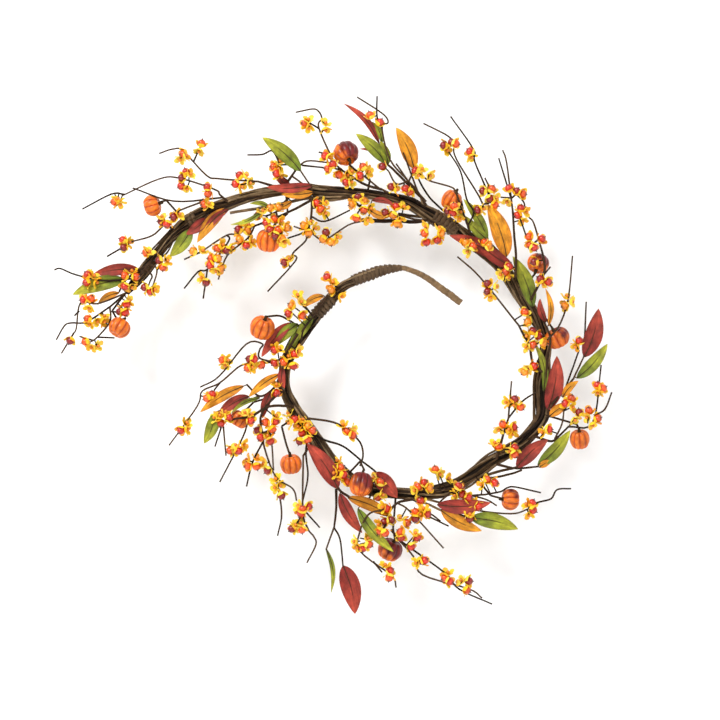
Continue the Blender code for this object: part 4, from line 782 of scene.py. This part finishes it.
def place_leaf(space, routes, leaf):
    """A leaf's base and tip, brought forwards until it clears what is in place."""
    x, z, tip_x, tip_z, width, _ = leaf
    root = nearest_on(routes, x, z)
    base = Vector((x, root.y - 0.5, z))
    tip = Vector((tip_x, root.y - 3, tip_z))
    space.look_near([base, tip])
    for _ in range(30):
        balls = leaf_points(base, tip, width)
        pushes = [item[1] - space.clear_depth(*item) for item in balls]
        push = max(pushes)
        if push < CLOSE_ENOUGH:
            break
        share = (Vector(balls[pushes.index(push)][:3]) - base).dot(tip - base) / (tip - base).length_squared
        base.y -= push * (1.0 - 0.7 * share)
        tip.y -= push * (0.3 + 0.7 * share)
    return root, base, tip


def place_berry(space, own, routes, berry):
    """A berry's twig end and its centre, in front of what is in place."""
    x, z, colour, _ = berry
    root = nearest_on(routes, x, z)
    radius = HUSK_RADIUS if colour == "y" else BERRY_RADIUS
    depth = space.clear_depth(x, root.y - 2.0, z, radius + 0.1)
    for _ in range(10):
        shift = depth
        for other in own:
            reach = (other[3] + radius) * 0.92
            flat = math.hypot(other[0] - x, other[2] - z)
            if flat < reach and abs(other[1] - depth) < math.sqrt(reach**2 - flat**2):
                shift = min(shift, other[1] - math.sqrt(reach**2 - flat**2))
        shift = space.clear_depth(x, shift, z, radius + 0.1)
        if depth - shift < CLOSE_ENOUGH:
            break
        depth = shift
    own.append((x, depth, z, radius))
    return root, Vector((x, depth, z)), radius


class Shape:
    """Points, faces, a colour and a grain direction at each point, gathered into one mesh."""

    def __init__(self):
        self.points = []
        self.faces = []
        self.colours = []
        self.grain = []

    def add_rings(self, rings):
        """Joins rings, each a list of points with their colour and grain, and closes both ends."""
        first = len(self.points)
        across = len(rings[0])
        for point, colour, grain in sum(rings, []):
            self.points.append(point)
            self.colours.append(colour)
            self.grain.append(grain)
        end = first + (len(rings) - 1) * across
        for a in range(first, end, across):
            b = a + across
            for k in range(across):
                other = (k + 1) % across
                self.faces.append((a + k, a + other, b + other, b + k))
        self.faces.append(tuple(first + k for k in reversed(range(across))))
        self.faces.append(tuple(end + k for k in range(across)))

    def piece(self, name, material, body, slot_name, node=None):
        """The shape as an object that rides on its body."""
        points = (np.array(self.points) - (HANG_X, 0, HANG_Z)) * MM
        mesh = bpy.data.meshes.new(name)
        mesh.from_pydata(points.tolist(), [], self.faces)
        tint = mesh.attributes.new("tint", "FLOAT_COLOR", "POINT")
        colours = np.ones((len(self.points), 4))
        colours[:, :3] = np.clip(np.array(self.colours), 0, 1)
        tint.data.foreach_set("color", colours.ravel())
        grain = mesh.attributes.new("grain", "FLOAT_VECTOR", "POINT")
        grain.data.foreach_set("vector", np.array(self.grain, float).ravel())
        mesh.shade_smooth()
        mesh.set_sharp_from_angle(angle=math.radians(60))
        mesh.materials.append(material)
        made = bpy.data.objects.new(name, mesh)
        bpy.context.scene.collection.objects.link(made)
        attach(made, body)
        if node:
            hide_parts(node)
        return made


def smooth(points, per_span):
    """A smooth curve through the points."""
    ends = [points[0] * 2 - points[1]] + points + [points[-1] * 2 - points[-2]]
    curve = []
    for a, b, c, d in zip(ends, ends[1:], ends[2:], ends[3:]):
        for k in range(per_span):
            t = k / per_span
            bend = (a * 2 - b * 5 + c * 4 - d) * t**2
            twist = (b * 3 - a - c * 3 + d) * t**3
            curve.append(0.5 * (b * 2 + (c - a) * t + bend + twist))
    return curve + [points[-1].copy()]


def frames(points):
    """A direction and two directions across it at each point, turning as little as they can."""
    result = []
    side = None
    for k in range(len(points)):
        direction = (points[min(k + 1, len(points) - 1)] - points[max(k - 1, 0)]).normalized()
        if side is None:
            side = direction.cross(Vector((0, 1, 0)))
            if side.length < 0.1:
                side = direction.cross(Vector((0, 0, 1)))
        side = (side - direction * side.dot(direction)).normalized()
        result.append((direction, side, direction.cross(side)))
    return result


def tube(shape, points, radii, sides, colour, ridges=0.0, ridge_step=4.0, rough=0.0):
    """A round wire or strand. Ridges wind round it as tape does, and rough makes it knobbly. Where there are
    ridges, painted shade darkens the colour in their grooves and lightens it on their crests.
    """
    rings = []
    travelled = 0.0
    phase = chance.random() * 9
    for k, (point, (_, side, up)) in enumerate(zip(points, frames(points))):
        if k:
            travelled += (point - points[k - 1]).length
        ring = []
        for n in range(sides):
            turn = math.tau * n / sides
            wave = (travelled / ridge_step + n / sides + phase) % 1.0
            knob = math.sin(travelled * 0.8 + phase + 2 * turn)
            knob *= math.sin(travelled * 0.31 + 3 * turn + phase)
            radius = radii[k] * (1 - ridges * (1 - wave) ** 2 - rough * (0.5 + 0.5 * knob))
            # painted shade: the ridge term darkens the colour in the grooves and lightens it on the crests;
            # the knob term is a random change of tone
            shade = 0.85 + 0.3 * wave * bool(ridges) + 0.25 * knob * rough / 0.12
            at = point + outward(side, up, turn) * radius
            ring.append((at, colour * shade, (travelled, radii[k] * turn, 0)))
        rings.append(ring)
    shape.add_rings(rings)


def blade(shape, path, widths, ups, cup, thickness, colour_at, across):
    """A thin closed blade along a path: a leaf or a petal, hollowed by cup across its width."""
    count = len(path)
    rings = []
    travelled = 0.0
    for k, point in enumerate(path):
        if k:
            travelled += (point - path[k - 1]).length
        direction = (path[min(k + 1, count - 1)] - path[max(k - 1, 0)]).normalized()
        up = (ups[k] - direction * ups[k].dot(direction)).normalized()
        side = direction.cross(up)
        upper, lower = [], []
        for n in range(across + 1):
            place = 2 * n / across - 1
            lift = cup[k] * place**2
            at = point + side * (widths[k] * place) + up * lift
            thin = thickness * (0.5 if abs(place) == 1 else 1.0)
            colour = colour_at(k / (count - 1), place)
            grain = (travelled, widths[k] * place, 1)
            upper.append((at + up * thin / 2, colour, grain))
            lower.append((at - up * thin / 2, colour, grain))
        rings.append(upper + lower[::-1])
    shape.add_rings(rings)


def ball(shape, centre, axis, radius, colour_at, around=14, along_count=9):
    """A round berry, drawn from pole to pole along its axis."""
    side, up = sides_of(axis)
    rings = []
    for k in range(along_count + 1):
        rise = -math.cos(math.pi * (k + 0.12) / (along_count + 0.24))
        out = math.sqrt(max(1 - rise**2, 0))
        middle = centre + axis * (radius * rise)
        colour = colour_at(rise)
        ring = []
        for n in range(around):
            at = middle + outward(side, up, math.tau * n / around) * (radius * out)
            ring.append((at, colour, (rise * radius, 0, 0)))
        rings.append(ring)
    shape.add_rings(rings)


# Materials


def add_node(tree, kind, **inputs):
    """A node with its input values set by name."""
    node = tree.nodes.new(kind)
    for name, value in inputs.items():
        node.inputs[name.replace("_", " ")].default_value = value
    return node


def noise_share(tree, vector, scale, low, high):
    """Noise along a vector, as a node whose value runs from low to high."""
    link = tree.links.new
    noise = add_node(tree, "ShaderNodeTexNoise", Scale=scale, Detail=5.0, Roughness=0.6)
    link(vector, noise.inputs["Vector"])
    spread = add_node(tree, "ShaderNodeMapRange", From_Min=0.3, From_Max=0.7, To_Min=low, To_Max=high)
    link(noise.outputs["Fac"], spread.inputs["Value"])
    return noise, spread


def tinted_material(name, roughness, mottle, mottle_scale, streak, stretch, bump, coat=0.0, specular=0.5):
    """The mesh's own colours with cloudy patches, streaks that follow its grain and a relief along them."""
    made = bpy.data.materials.new(name)
    made.use_nodes = True
    tree = made.node_tree
    link = tree.links.new
    shader = tree.nodes["Principled BSDF"]
    shader.inputs["Coat Weight"].default_value = coat
    shader.inputs["Coat Roughness"].default_value = 0.15
    shader.inputs["Specular IOR Level"].default_value = specular
    place = tree.nodes.new("ShaderNodeTexCoord")
    tint = tree.nodes.new("ShaderNodeAttribute")
    tint.attribute_name = "tint"
    grain = tree.nodes.new("ShaderNodeAttribute")
    grain.attribute_name = "grain"
    lay = tree.nodes.new("ShaderNodeVectorMath")
    lay.operation = "MULTIPLY"
    lay.inputs[1].default_value = stretch
    link(grain.outputs["Vector"], lay.inputs[0])
    cloud, cloudy = noise_share(tree, place.outputs["Object"], mottle_scale, 1 - mottle, 1 + mottle * 0.6)
    line, lined = noise_share(tree, lay.outputs["Vector"], 1.0, 1 - streak, 1 + streak * 0.6)
    shade = tint.outputs["Color"]
    for share in (cloudy, lined):
        scaled = tree.nodes.new("ShaderNodeVectorMath")
        scaled.operation = "SCALE"
        link(shade, scaled.inputs[0])
        link(share.outputs["Result"], scaled.inputs["Scale"])
        shade = scaled.outputs["Vector"]
    link(shade, shader.inputs["Base Color"])
    low, high = max(roughness - 0.1, 0.05), min(roughness + 0.12, 1.0)
    rough = add_node(tree, "ShaderNodeMapRange", To_Min=low, To_Max=high)
    link(cloud.outputs["Fac"], rough.inputs["Value"])
    link(rough.outputs["Result"], shader.inputs["Roughness"])
    raised = add_node(tree, "ShaderNodeBump", Strength=bump, Distance=0.0008)
    link(line.outputs["Fac"], raised.inputs["Height"])
    link(raised.outputs["Normal"], shader.inputs["Normal"])
    return made


def make_materials():
    """Every finish, by its short name."""
    return {
        "bark": tinted_material("twig_bark", 0.85, 0.35, 120, 0.5, (0.12, 0.7, 1), 0.9, specular=0.15),
        "wire": tinted_material("wrapped_wire", 0.8, 0.3, 160, 0.3, (0.5, 0.5, 1), 0.6, specular=0.15),
        "tape": tinted_material("floral_tape", 0.7, 0.3, 140, 0.35, (0.9, 0.2, 1), 0.8, specular=0.25),
        "pumpkin": tinted_material("painted_foam", 0.4, 0.4, 80, 0.3, (0.2, 0.2, 0.2), 0.3, 0.12, 0.35),
        "berry": tinted_material("lacquered_berry", 0.28, 0.3, 180, 0.15, (0.3, 0.3, 1), 0.1, 0.25),
        "husk": tinted_material("berry_husk", 0.5, 0.12, 200, 0.22, (0.12, 0.8, 1), 0.6, specular=0.3),
        "leaf": tinted_material("satin_leaf", 0.6, 0.45, 110, 0.5, (0.08, 0.45, 1), 0.9, specular=0.3),
    }


# The vine and its tape


def vine_route():
    """The whole vine as one smooth route: its points, its radii, and where each run starts and ends."""
    corners, thick, runs = [], [], {}
    for name, run in VINE.items():
        start = max(len(corners) - 1, 0)
        for x, z, radius in run[min(len(corners), 1):]:
            corners.append(Vector((x, 0, z)))
            thick.append(radius)
        runs[name] = (start * SPAN_STEPS, (len(corners) - 1) * SPAN_STEPS)
    points = smooth(corners, SPAN_STEPS)
    radii = np.interp(np.arange(len(points)) / SPAN_STEPS, np.arange(len(thick)), thick)
    return points, radii, runs


def distances(points):
    """How far along the route each point is."""
    return np.concatenate([[0], np.cumsum([(b - a).length for a, b in zip(points, points[1:])])])


def finer(points, radii, step):
    """The same route with a point every step."""
    marks = distances(points)
    places = np.linspace(0, marks[-1], max(2, int(marks[-1] / step)))
    axes = [np.interp(places, marks, [point[k] for point in points]) for k in range(3)]
    return [Vector(point) for point in zip(*axes)], np.interp(places, marks, radii)


def strand_routes(points, radii):
    """The vine's strands: a dark core, which is painted shade seen in the gaps between the strands, then
    twigs that wander and cross as they run along it.
    """
    marks = distances(points)
    axes = frames(points)
    # the core tube is painted shade for the inside of the bundle
    result = [(points, radii * 0.74, CORE_SHADE_BROWN)]
    for number in range(STRANDS):
        wander = [chance.random() * 20 for _ in range(3)]
        loose = 0.3 if number % 4 == 0 else 0.06
        route = []
        for point, radius, mark, (_, side, up) in zip(points, radii, marks, axes):
            turn = math.tau * (number / STRANDS + mark / STRAND_TURN) + 0.5 * math.sin(mark / 31 + wander[0])
            away = loose * max(math.sin(mark / 43 + wander[2]), 0) ** 2
            out = radius * (0.80 + 0.07 * math.sin(mark / 19 + wander[1]) + away)
            route.append(point + outward(side, up, turn) * out)
        thick = radii * (0.19 + 0.03 * np.sin(marks / 23 + wander[2]))
        result.append((route, thick, BARK[number % len(BARK)] * (0.75 + 0.5 * chance.random())))
    return result


def make_vine(materials):
    """All runs of the vine, its tape wraps and the bare stem."""
    points, radii, runs = vine_route()
    strands = strand_routes(points, radii)
    for name, (start, end) in runs.items():
        shape = Shape()
        if name.startswith("vine"):
            first = max(start - SPAN_STEPS, 0)
            for route, thick, colour in strands:
                part = slice(first, end + SPAN_STEPS + 1)
                tube(shape, route[part], thick[part], 8, colour, rough=0.12)
            shape.piece(name + "_twigs", materials["bark"], "garland", "vine_bark", name)
        elif name == "bare_stem":
            route, thick = finer(points[start:end + 3], radii[start:end + 3], 0.8)
            tube(shape, route, thick, 20, BARE_BROWN, ridges=0.10, ridge_step=6.0, rough=0.03)
            shape.piece("bare_stem_paper", materials["tape"], "garland", "bare_stem", name)
        else:
            route, thick = finer(points[start:end + 1], radii[start:end + 1], 0.6)
            # the tape's turns carry painted shade in their grooves and lighter crests, drawn by tube
            tube(shape, route, thick * 1.2, 24, TAPE_BROWN, ridges=0.24, ridge_step=4.4, rough=0.07)
            shape.piece(name + "_turns", materials["tape"], "garland", "floral_tape", name)
    return points, radii, frames(points)


def lead_in(shape, vine, root, towards, length):
    """The part of a stem that runs back along the vine from the pick's root, half sunk in its strands."""
    points, radii, axes = vine
    near = nearest_index(points, root)
    way = -1 if towards.dot(axes[near][0]) > 0 else 1
    offset = root - points[near]
    route, travelled, place = [root.copy()], 0.0, near
    across = Vector((-axes[near][0].z, 0, axes[near][0].x))
    lean = min(max(offset.dot(across) / radii[near], -0.8), 0.8)
    while travelled < length and 0 < place + way < len(points) - 1:
        place += way
        step = (points[place] - points[place - way]).length
        travelled += step
        if travelled < 5:
            continue
        across = Vector((-axes[place][0].z, 0, axes[place][0].x))
        lean += 0.02 * math.sin(travelled / 11 + root.x)
        sunk = LEAD_IN_LIFT * (1 - 0.5 * (travelled / length) ** 3)
        front = Vector((0, -math.sqrt(max(1 - lean**2, 0.2)), 0))
        route.append(points[place] + (across * lean + front) * (radii[place] * sunk))
    if len(route) > 2:
        curve = smooth(route, 2)
        tube(shape, curve, np.linspace(STEM_RADIUS, 0.9, len(curve)), 7, chance.choice(BARK), rough=0.1)


# Pumpkins


def pumpkin_fruit(shape, centre, axis, width, height, stained):
    """A ribbed fruit with a hollow at each end, orange with burgundy on one side, darker between the ribs as
    painted shade in the grooves.
    """
    side, up = sides_of(axis)
    stain_way = Vector((0.6, -0.3, 0.75)).normalized()
    rings = []
    for k in range(FRUIT_STEPS + 1):
        slope = math.pi * k / FRUIT_STEPS - math.pi / 2
        ring = []
        for n in range(FRUIT_SIDES):
            turn = math.tau * n / FRUIT_SIDES
            rib = abs(math.cos(turn * RIBS / 2)) ** 0.6
            out = width / 2 * max(math.cos(slope), 0.02) ** 0.8 * (0.86 + 0.14 * rib)
            hollow = 0.30 * math.exp(-((math.cos(slope) / 0.32) ** 2)) + 0.05 * (1 - rib) * math.cos(slope)
            rise = height / 2 * math.sin(slope) * (1.03 - hollow)
            point = centre + outward(side, up, turn) * out + axis * rise
            facing = (point - centre).normalized().dot(stain_way)
            patch = math.sin(point.x * 0.55) * math.cos(point.z * 0.47 + 1) * 0.35
            share = min(max((facing + patch - 1 + 2 * stained) * 1.6, 0), 1) * min(stained * 4, 1)
            # painted shade: the colour darkens towards the grooves between the ribs, for the orange and the
            # burgundy alike
            colour = PUMPKIN_GROOVE_SHADE * (1 - rib) + PUMPKIN_ORANGE * rib
            colour = colour * (1 - share) + PUMPKIN_BURGUNDY * (0.6 + 0.5 * rib) * share
            ring.append((point, colour, tuple(point - centre)))
        rings.append(ring)
    shape.add_rings(rings)


def tie_in(shape, vine, end):
    """The last of a wire, from its free end to the vine's near side."""
    points, radii, _ = vine
    near = nearest_index(points, end)
    reach = Vector((end.x - points[near].x, 0, end.z - points[near].z))
    if reach.length > radii[near]:
        landing = points[near] + reach.normalized() * (radii[near] * 0.7) - Vector((0, radii[near] * 0.6, 0))
        middle = (end + landing) / 2 - Vector((0, 1.0, 0))
        curve = smooth([end, middle, landing, points[near] - Vector((0, radii[near] * 0.5, 0))], 5)
        tube(shape, curve, [DRAWN_WIRE] * len(curve), 7, WIRE_BROWN[0], ridges=0.1, ridge_step=2.5)


def fruit_push(space, centre, axis, width, height):
    """A fruit's balls, and how far forwards they have to go to clear what is in place."""
    balls = pumpkin_balls(centre, axis, width, height)
    return balls, max(item[1] - space.clear_depth(*item) for item in balls)


def make_pumpkins(materials, space, vine):
    """Each pumpkin, its stub stem and its wire."""
    for name, (x, z, depth, width, height, turn, lean, stained, wire) in PUMPKINS.items():
        centre = Vector((x, depth, z))
        axis = pumpkin_axis(turn, lean)
        space.look_near([centre])
        balls, push = fruit_push(space, centre, axis, width, height)
        for _ in range(MOST_PUSHES):
            centre.y -= push
            balls, push = fruit_push(space, centre, axis, width, height)
            if push < CLOSE_ENOUGH:
                break
        stem_top = centre + axis * (height * 0.38 + 5)
        route = [stem_top] + [Vector((px, WIRE_DEPTH, pz)) for px, pz in wire]
        space.look_near(route)
        settle(space, route, WIRE_RADIUS, True)
        space.add(balls + along(route, WIRE_RADIUS, FINE_STEP))
        space.add(along([centre, stem_top], 2.1, FINE_STEP))
        fruit = Shape()
        pumpkin_fruit(fruit, centre, axis, width, height, stained)
        fruit.piece(name + "_fruit", materials["pumpkin"], "garland", "pumpkin_skin", name)
        stalk = Shape()
        bend = [centre + axis * (height * 0.26), centre + axis * (height * 0.38 + 1), stem_top]
        curve = smooth(bend, 4)
        tube(stalk, curve, np.linspace(2.6, 1.25, len(curve)), 9, PUMPKIN_STEM, rough=0.15)
        wire_curve = smooth(route, 4)
        tube(stalk, wire_curve, [DRAWN_WIRE] * len(wire_curve), 7, WIRE_BROWN[0], ridges=0.1, ridge_step=2.5)
        tie_in(stalk, vine, route[-1])
        stalk.piece(name + "_stem", materials["wire"], "garland", "pumpkin_skin")


# Picks


def petal(shape, centre, axis, out, radius, opening, base_colour, tip_colour):
    """One broad petal of a husk: it starts behind the berry, cups it and curls out to a round tip."""
    reach = 0.85 + 0.35 * chance.random()
    marks = [(-1.05, 0.10), (-0.9, 0.62), (-0.42, 1.08)]
    marks += [(0.10 * reach, 1.2 + opening * 0.5), (0.3 * reach, 1.5 + opening)]
    path = smooth([centre + axis * (radius * rise) + out * (radius * wide) for rise, wide in marks], 2)
    shares = np.linspace(0, 1, len(path))
    wide = np.interp(shares, [0, 0.25, 0.5, 0.78, 0.93, 1], [0.25, 0.62, 0.80, 0.80, 0.58, 0.25])
    widths = [radius * (0.85 + 0.3 * opening) * width for width in wide]
    cup = [-width * 0.35 * (1 - 1.2 * share) for width, share in zip(widths, shares)]

    def colour_at(share, place):
        blend = min(max(share * 1.6 - 0.8, 0), 1) * (0.7 + 0.3 * abs(place))
        heart = min(max(1 - share * 3.5, 0), 1) * 0.5
        colour = base_colour * (1 - blend) + tip_colour * blend
        return colour * (1 - heart) + HUSK_HEART * heart

    blade(shape, path, widths, [out] * len(path), cup, 0.3, colour_at, 4)


def husk(shape, centre, axis, radius, petals, opening):
    """A ring of petals round a berry."""
    side, up = sides_of(axis)
    start = chance.random() * 6
    base_colour = chance.choice(HUSK_BASE)
    for k in range(petals):
        turn = start + math.tau * k / petals + (chance.random() - 0.5) * 0.5
        out = outward(side, up, turn)
        spread = opening * (0.6 + 0.8 * chance.random())
        petal(shape, centre, axis, out, radius, spread, base_colour, chance.choice(HUSK_TIP))


def berry_with_nib(shape, centre, axis, radius, colour):
    """A glossy berry, darker towards the short dry point at its tip."""
    colour = colour * (0.85 + 0.3 * chance.random())

    def colour_at(rise):
        dark = min(max((rise - 0.72) * 4, 0), 1)
        return colour * (1 - 0.55 * dark)

    ball(shape, centre, axis, radius, colour_at)
    tip = centre + axis * (radius * 0.93)
    tube(shape, [tip, tip + axis * 0.9, tip + axis * 1.8], [0.75, 0.5, 0.18], 6, NIB)


def leaf_blade(leaves, wires, root, base, tip, width, colour_name):
    """A satin leaf with a fold along its midrib, soft waves at its edges and a wire from its stem."""
    near, far, edge = LEAF_COLOURS[colour_name]
    span = tip - base
    side = Vector((-span.z, 0, span.x)).normalized()
    front = span.cross(side).normalized()
    front = front if front.y < 0 else -front
    bow = span.length * (0.05 if width > 8 else 0.10) * chance.choice((-1, 1))
    dip = min(span.length * 0.05, 2.5)
    shares = np.linspace(0, 1, 17)
    path = []
    for share in shares:
        arch = math.sin(math.pi * share)
        path.append(base + span * share + side * (bow * arch) + front * (dip * arch))
    outline = [max(math.sin(math.pi * min(share, 1) ** 0.82), 0) ** 0.75 for share in shares]
    widths = [max(width / 2 * value, 0.5 * (1 - share) + 0.2) for value, share in zip(outline, shares)]
    wave = chance.random() * 6
    cup = [value * (0.28 + 0.12 * math.sin(9 * share + wave)) for value, share in zip(widths, shares)]
    colour_shift = 0.88 + 0.24 * chance.random()

    def colour_at(share, place):
        rib = 0.86 if abs(place) < 0.1 else 1.0
        rim = abs(place) ** 3 * 0.5
        colour = near * (1 - share) + far * share
        return (colour * (1 - rim) + edge * rim) * rib * colour_shift

    blade(leaves, path, widths, [front] * len(path), cup, 0.35, colour_at, 10)
    rib_path = [point + front * 0.3 for point in path[:11]]
    stalk = [root + (base - root) * share for share in (0, 0.5)] if (base - root).length > 1.5 else []
    route = stalk + rib_path
    tube(wires, route, np.linspace(0.6, 0.22, len(route)), 6, WIRE_BROWN[1])


def hang_berry(wires, fruit, husks, space, own, routes, berry):
    """A berry in its husk, or an open golden husk, on a short stalk, which it returns as balls."""
    space.look_near([Vector((berry[0], 0, berry[1]))])
    twig_end, centre, radius = place_berry(space, own, routes, berry)
    turn = math.radians(berry[3])
    facing = Vector((math.cos(turn), -0.3 - 0.5 * chance.random(), math.sin(turn))).normalized()
    back = centre - facing * (radius * 0.9)
    stalk = smooth([twig_end, (twig_end + back) / 2 + Vector((0, -0.4, 0)), back], 3)
    tube(wires, stalk, [STALK_RADIUS] * len(stalk), 6, WIRE_BROWN[2])
    if berry[2] == "y":
        husk(husks, centre, facing, 3.5, chance.choice((4, 5)), 0.42)
        ball(fruit, centre, facing, 1.9, lambda rise: HUSK_HEART, 8, 5)
    else:
        berry_with_nib(fruit, centre, facing, BERRY_RADIUS * 0.96, BERRY_COLOURS[berry[2]])
        husk(husks, centre, facing, BERRY_RADIUS, chance.choice((3, 4, 4)), 0.12)
    return along([twig_end, centre], STALK_RADIUS, FINE_STEP)


def make_more_twigs(materials, space):
    """Twigs of the vine beside its main bundle. Thin ones lie over what is in place. Returns their routes."""
    shape, routes = Shape(), []
    for radius, *corners in MORE_TWIGS:
        thin = radius < THIN_TWIG
        route = [Vector((x, -6.0 if thin else -1.5, z)) for x, z in corners]
        if thin:
            space.look_near(route)
            settle(space, route, radius, False)
        routes.append(route)
        curve = smooth(route, 6)
        colour = chance.choice(WIRE_BROWN if thin else BARK)
        tube(shape, curve, np.linspace(radius, radius * 0.8, len(curve)), 8, colour, rough=0.12)
    shape.piece("loose_twigs", materials["bark"], "garland", "vine_bark")
    return routes


def make_more_berries(materials, space, body, routes):
    """Berries wired straight to a body's twigs, in front of what is already there."""
    wires, fruit, husks = Shape(), Shape(), Shape()
    for berry in MORE_BERRIES[body]:
        own = []
        stalk = hang_berry(wires, fruit, husks, space, own, routes, berry)
        space.add(stalk + own)
    wires.piece(body + "_more_stalks", materials["wire"], body, "berry_picks")
    fruit.piece(body + "_more_berries", materials["berry"], body, "berry_picks")
    husks.piece(body + "_more_husks", materials["husk"], body, "berry_picks")


def make_pick(name, materials, space, vine):
    """One pick: wrapped wires, leaves, berries and husks, all riding on its own body."""
    root_depth, tip_depth, stem, twigs, berries, leaf_list = PICKS[name]
    body = name if name in frame["bodies"] else "garland"
    slot_name = "berry_picks" if berries else "leaf_fabric"
    routes = twig_routes(space, tip_depth, stem_route(space, root_depth, tip_depth, stem), twigs)
    wires, fruit, husks, leaves = Shape(), Shape(), Shape(), Shape()
    balls = []
    for number, route in enumerate(routes):
        thick = STEM_RADIUS if number == 0 else TWIG_RADIUS
        curve = smooth(route, 5)
        colour = WIRE_BROWN[number % len(WIRE_BROWN)]
        radii = np.linspace(thick * 1.35, thick * 1.1 if number else thick * 0.95, len(curve))
        tube(wires, curve, radii, 7, colour, ridges=0.12, ridge_step=2.2, rough=0.05)
        balls += along(route, thick, FINE_STEP)
    for leaf in leaf_list:
        leaf_root, base, leaf_tip = place_leaf(space, routes, leaf)
        leaf_blade(leaves, wires, leaf_root, base, leaf_tip, leaf[4], leaf[5])
        balls += leaf_points(base, leaf_tip, leaf[4], 5)
        balls += along([leaf_root, base], STALK_RADIUS, FINE_STEP)
    own = []
    for berry in berries:
        balls += hang_berry(wires, fruit, husks, space, own, routes, berry)
    space.add(balls + own)
    towards = routes[0][1] - routes[0][0]
    from_vine = min((point - routes[0][0]).length for point in vine[0])
    if name not in NO_LEAD_IN and from_vine < LEAD_IN_REACH:
        leads = Shape()
        lead_in(leads, vine, routes[0][0], towards, 60 + 40 * chance.random())
        leads.piece(name + "_lead_in", materials["bark"], "garland", "vine_bark")
    wires.piece(name + "_wires", materials["wire"], body, slot_name, name)
    if leaf_list:
        leaves.piece(name + "_leaves", materials["leaf"], body, "leaf_fabric")
    if berries:
        fruit.piece(name + "_berries", materials["berry"], body, slot_name)
        husks.piece(name + "_husks", materials["husk"], body, slot_name)
    return routes


# Studio


def stage_material():
    """Pale and matt, and see-through from behind, so that the wall hides nothing from the back."""
    made = bpy.data.materials.new("studio_white")
    made.use_nodes = True
    tree = made.node_tree
    shader = tree.nodes["Principled BSDF"]
    shader.inputs["Base Color"].default_value = (0.93, 0.93, 0.93, 1)
    shader.inputs["Roughness"].default_value = 0.95
    shader.inputs["Specular IOR Level"].default_value = 0.1
    clear = tree.nodes.new("ShaderNodeBsdfTransparent")
    side = tree.nodes.new("ShaderNodeNewGeometry")
    mix = tree.nodes.new("ShaderNodeMixShader")
    tree.links.new(side.outputs["Backfacing"], mix.inputs["Fac"])
    tree.links.new(shader.outputs["BSDF"], mix.inputs[1])
    tree.links.new(clear.outputs["BSDF"], mix.inputs[2])
    tree.links.new(mix.outputs["Shader"], tree.nodes["Material Output"].inputs["Surface"])
    return made


def plane(name, corners, material):
    """A flat sheet of the studio."""
    mesh = bpy.data.meshes.new(name)
    mesh.from_pydata(corners, [], [(0, 1, 2, 3)])
    mesh.materials.append(material)
    made = bpy.data.objects.new(name, mesh)
    bpy.context.scene.collection.objects.link(made)


def area_light(name, place, target, size, power):
    """A soft box that looks at a target."""
    lamp = bpy.data.lights.new(name, "AREA")
    lamp.size = size
    lamp.energy = power
    made = bpy.data.objects.new(name, lamp)
    made.location = place
    made.rotation_euler = (Vector(target) - Vector(place)).to_track_quat("-Z", "Y").to_euler()
    bpy.context.scene.collection.objects.link(made)


def make_studio():
    """White wall and floor, soft light from the upper left, and the camera straight in front."""
    scene = bpy.context.scene
    low, high = CAD_BOX
    white = stage_material()
    size = STAGE_SIZE
    wall = high[1] + WALL_GAP
    floor = low[2] - FLOOR_DROP
    plane("wall", [(-size, wall, floor), (size, wall, floor), (size, wall, size), (-size, wall, size)], white)
    corners = [(-size, -size, floor), (size, -size, floor), (size, size, floor), (-size, size, floor)]
    plane("floor", corners, white)
    middle = ((VIEW_X - HANG_X) * MM, 0, -HANG_Z * MM)
    area_light("key", (-1.1, -1.9, 1.5), middle, 0.8, 62)
    area_light("fill", (1.6, -1.7, 0.4), middle, 2.0, 12)
    area_light("back", (0.4, 2.0, 1.2), middle, 2.0, 12)
    world = bpy.data.worlds.new("studio")
    world.use_nodes = True
    sky = world.node_tree.nodes["Background"]
    sky.inputs["Color"].default_value = (1, 1, 1, 1)
    sky.inputs["Strength"].default_value = 0.62
    scene.world = world
    scene.view_settings.view_transform = "Standard"
    camera = bpy.data.cameras.new("camera")
    camera.lens = camera.sensor_width * CAMERA_DISTANCE / VIEW_WIDTH
    camera.clip_start = 0.05
    made = bpy.data.objects.new("camera", camera)
    made.location = (middle[0], -CAMERA_DISTANCE, middle[2])
    made.rotation_euler = (math.radians(90), 0, 0)
    scene.collection.objects.link(made)
    scene.camera = made


CAD_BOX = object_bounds()
make_studio()
finishes = make_materials()
placed = Space()
for run in VINE.values():
    for (x, z, thick), (next_x, next_z, next_thick) in zip(run, run[1:]):
        span_balls = along([Vector((x, 0, z)), Vector((next_x, 0, next_z))], 0, BALL_STEP)
        placed.add([(*item[:3], max(thick, next_thick)) for item in span_balls])
vine_line = make_vine(finishes)
make_pumpkins(finishes, placed, vine_line)
pick_twigs = {pick: make_pick(pick, finishes, placed, vine_line) for pick in PICKS}
vine_front = [point - Vector((0, radius * 0.9, 0)) for point, radius in zip(*vine_line[:2])]
pick_twigs["garland"] = [vine_front] + make_more_twigs(finishes, placed)
for holder in MORE_BERRIES:
    make_more_berries(finishes, placed, holder, pick_twigs[holder])
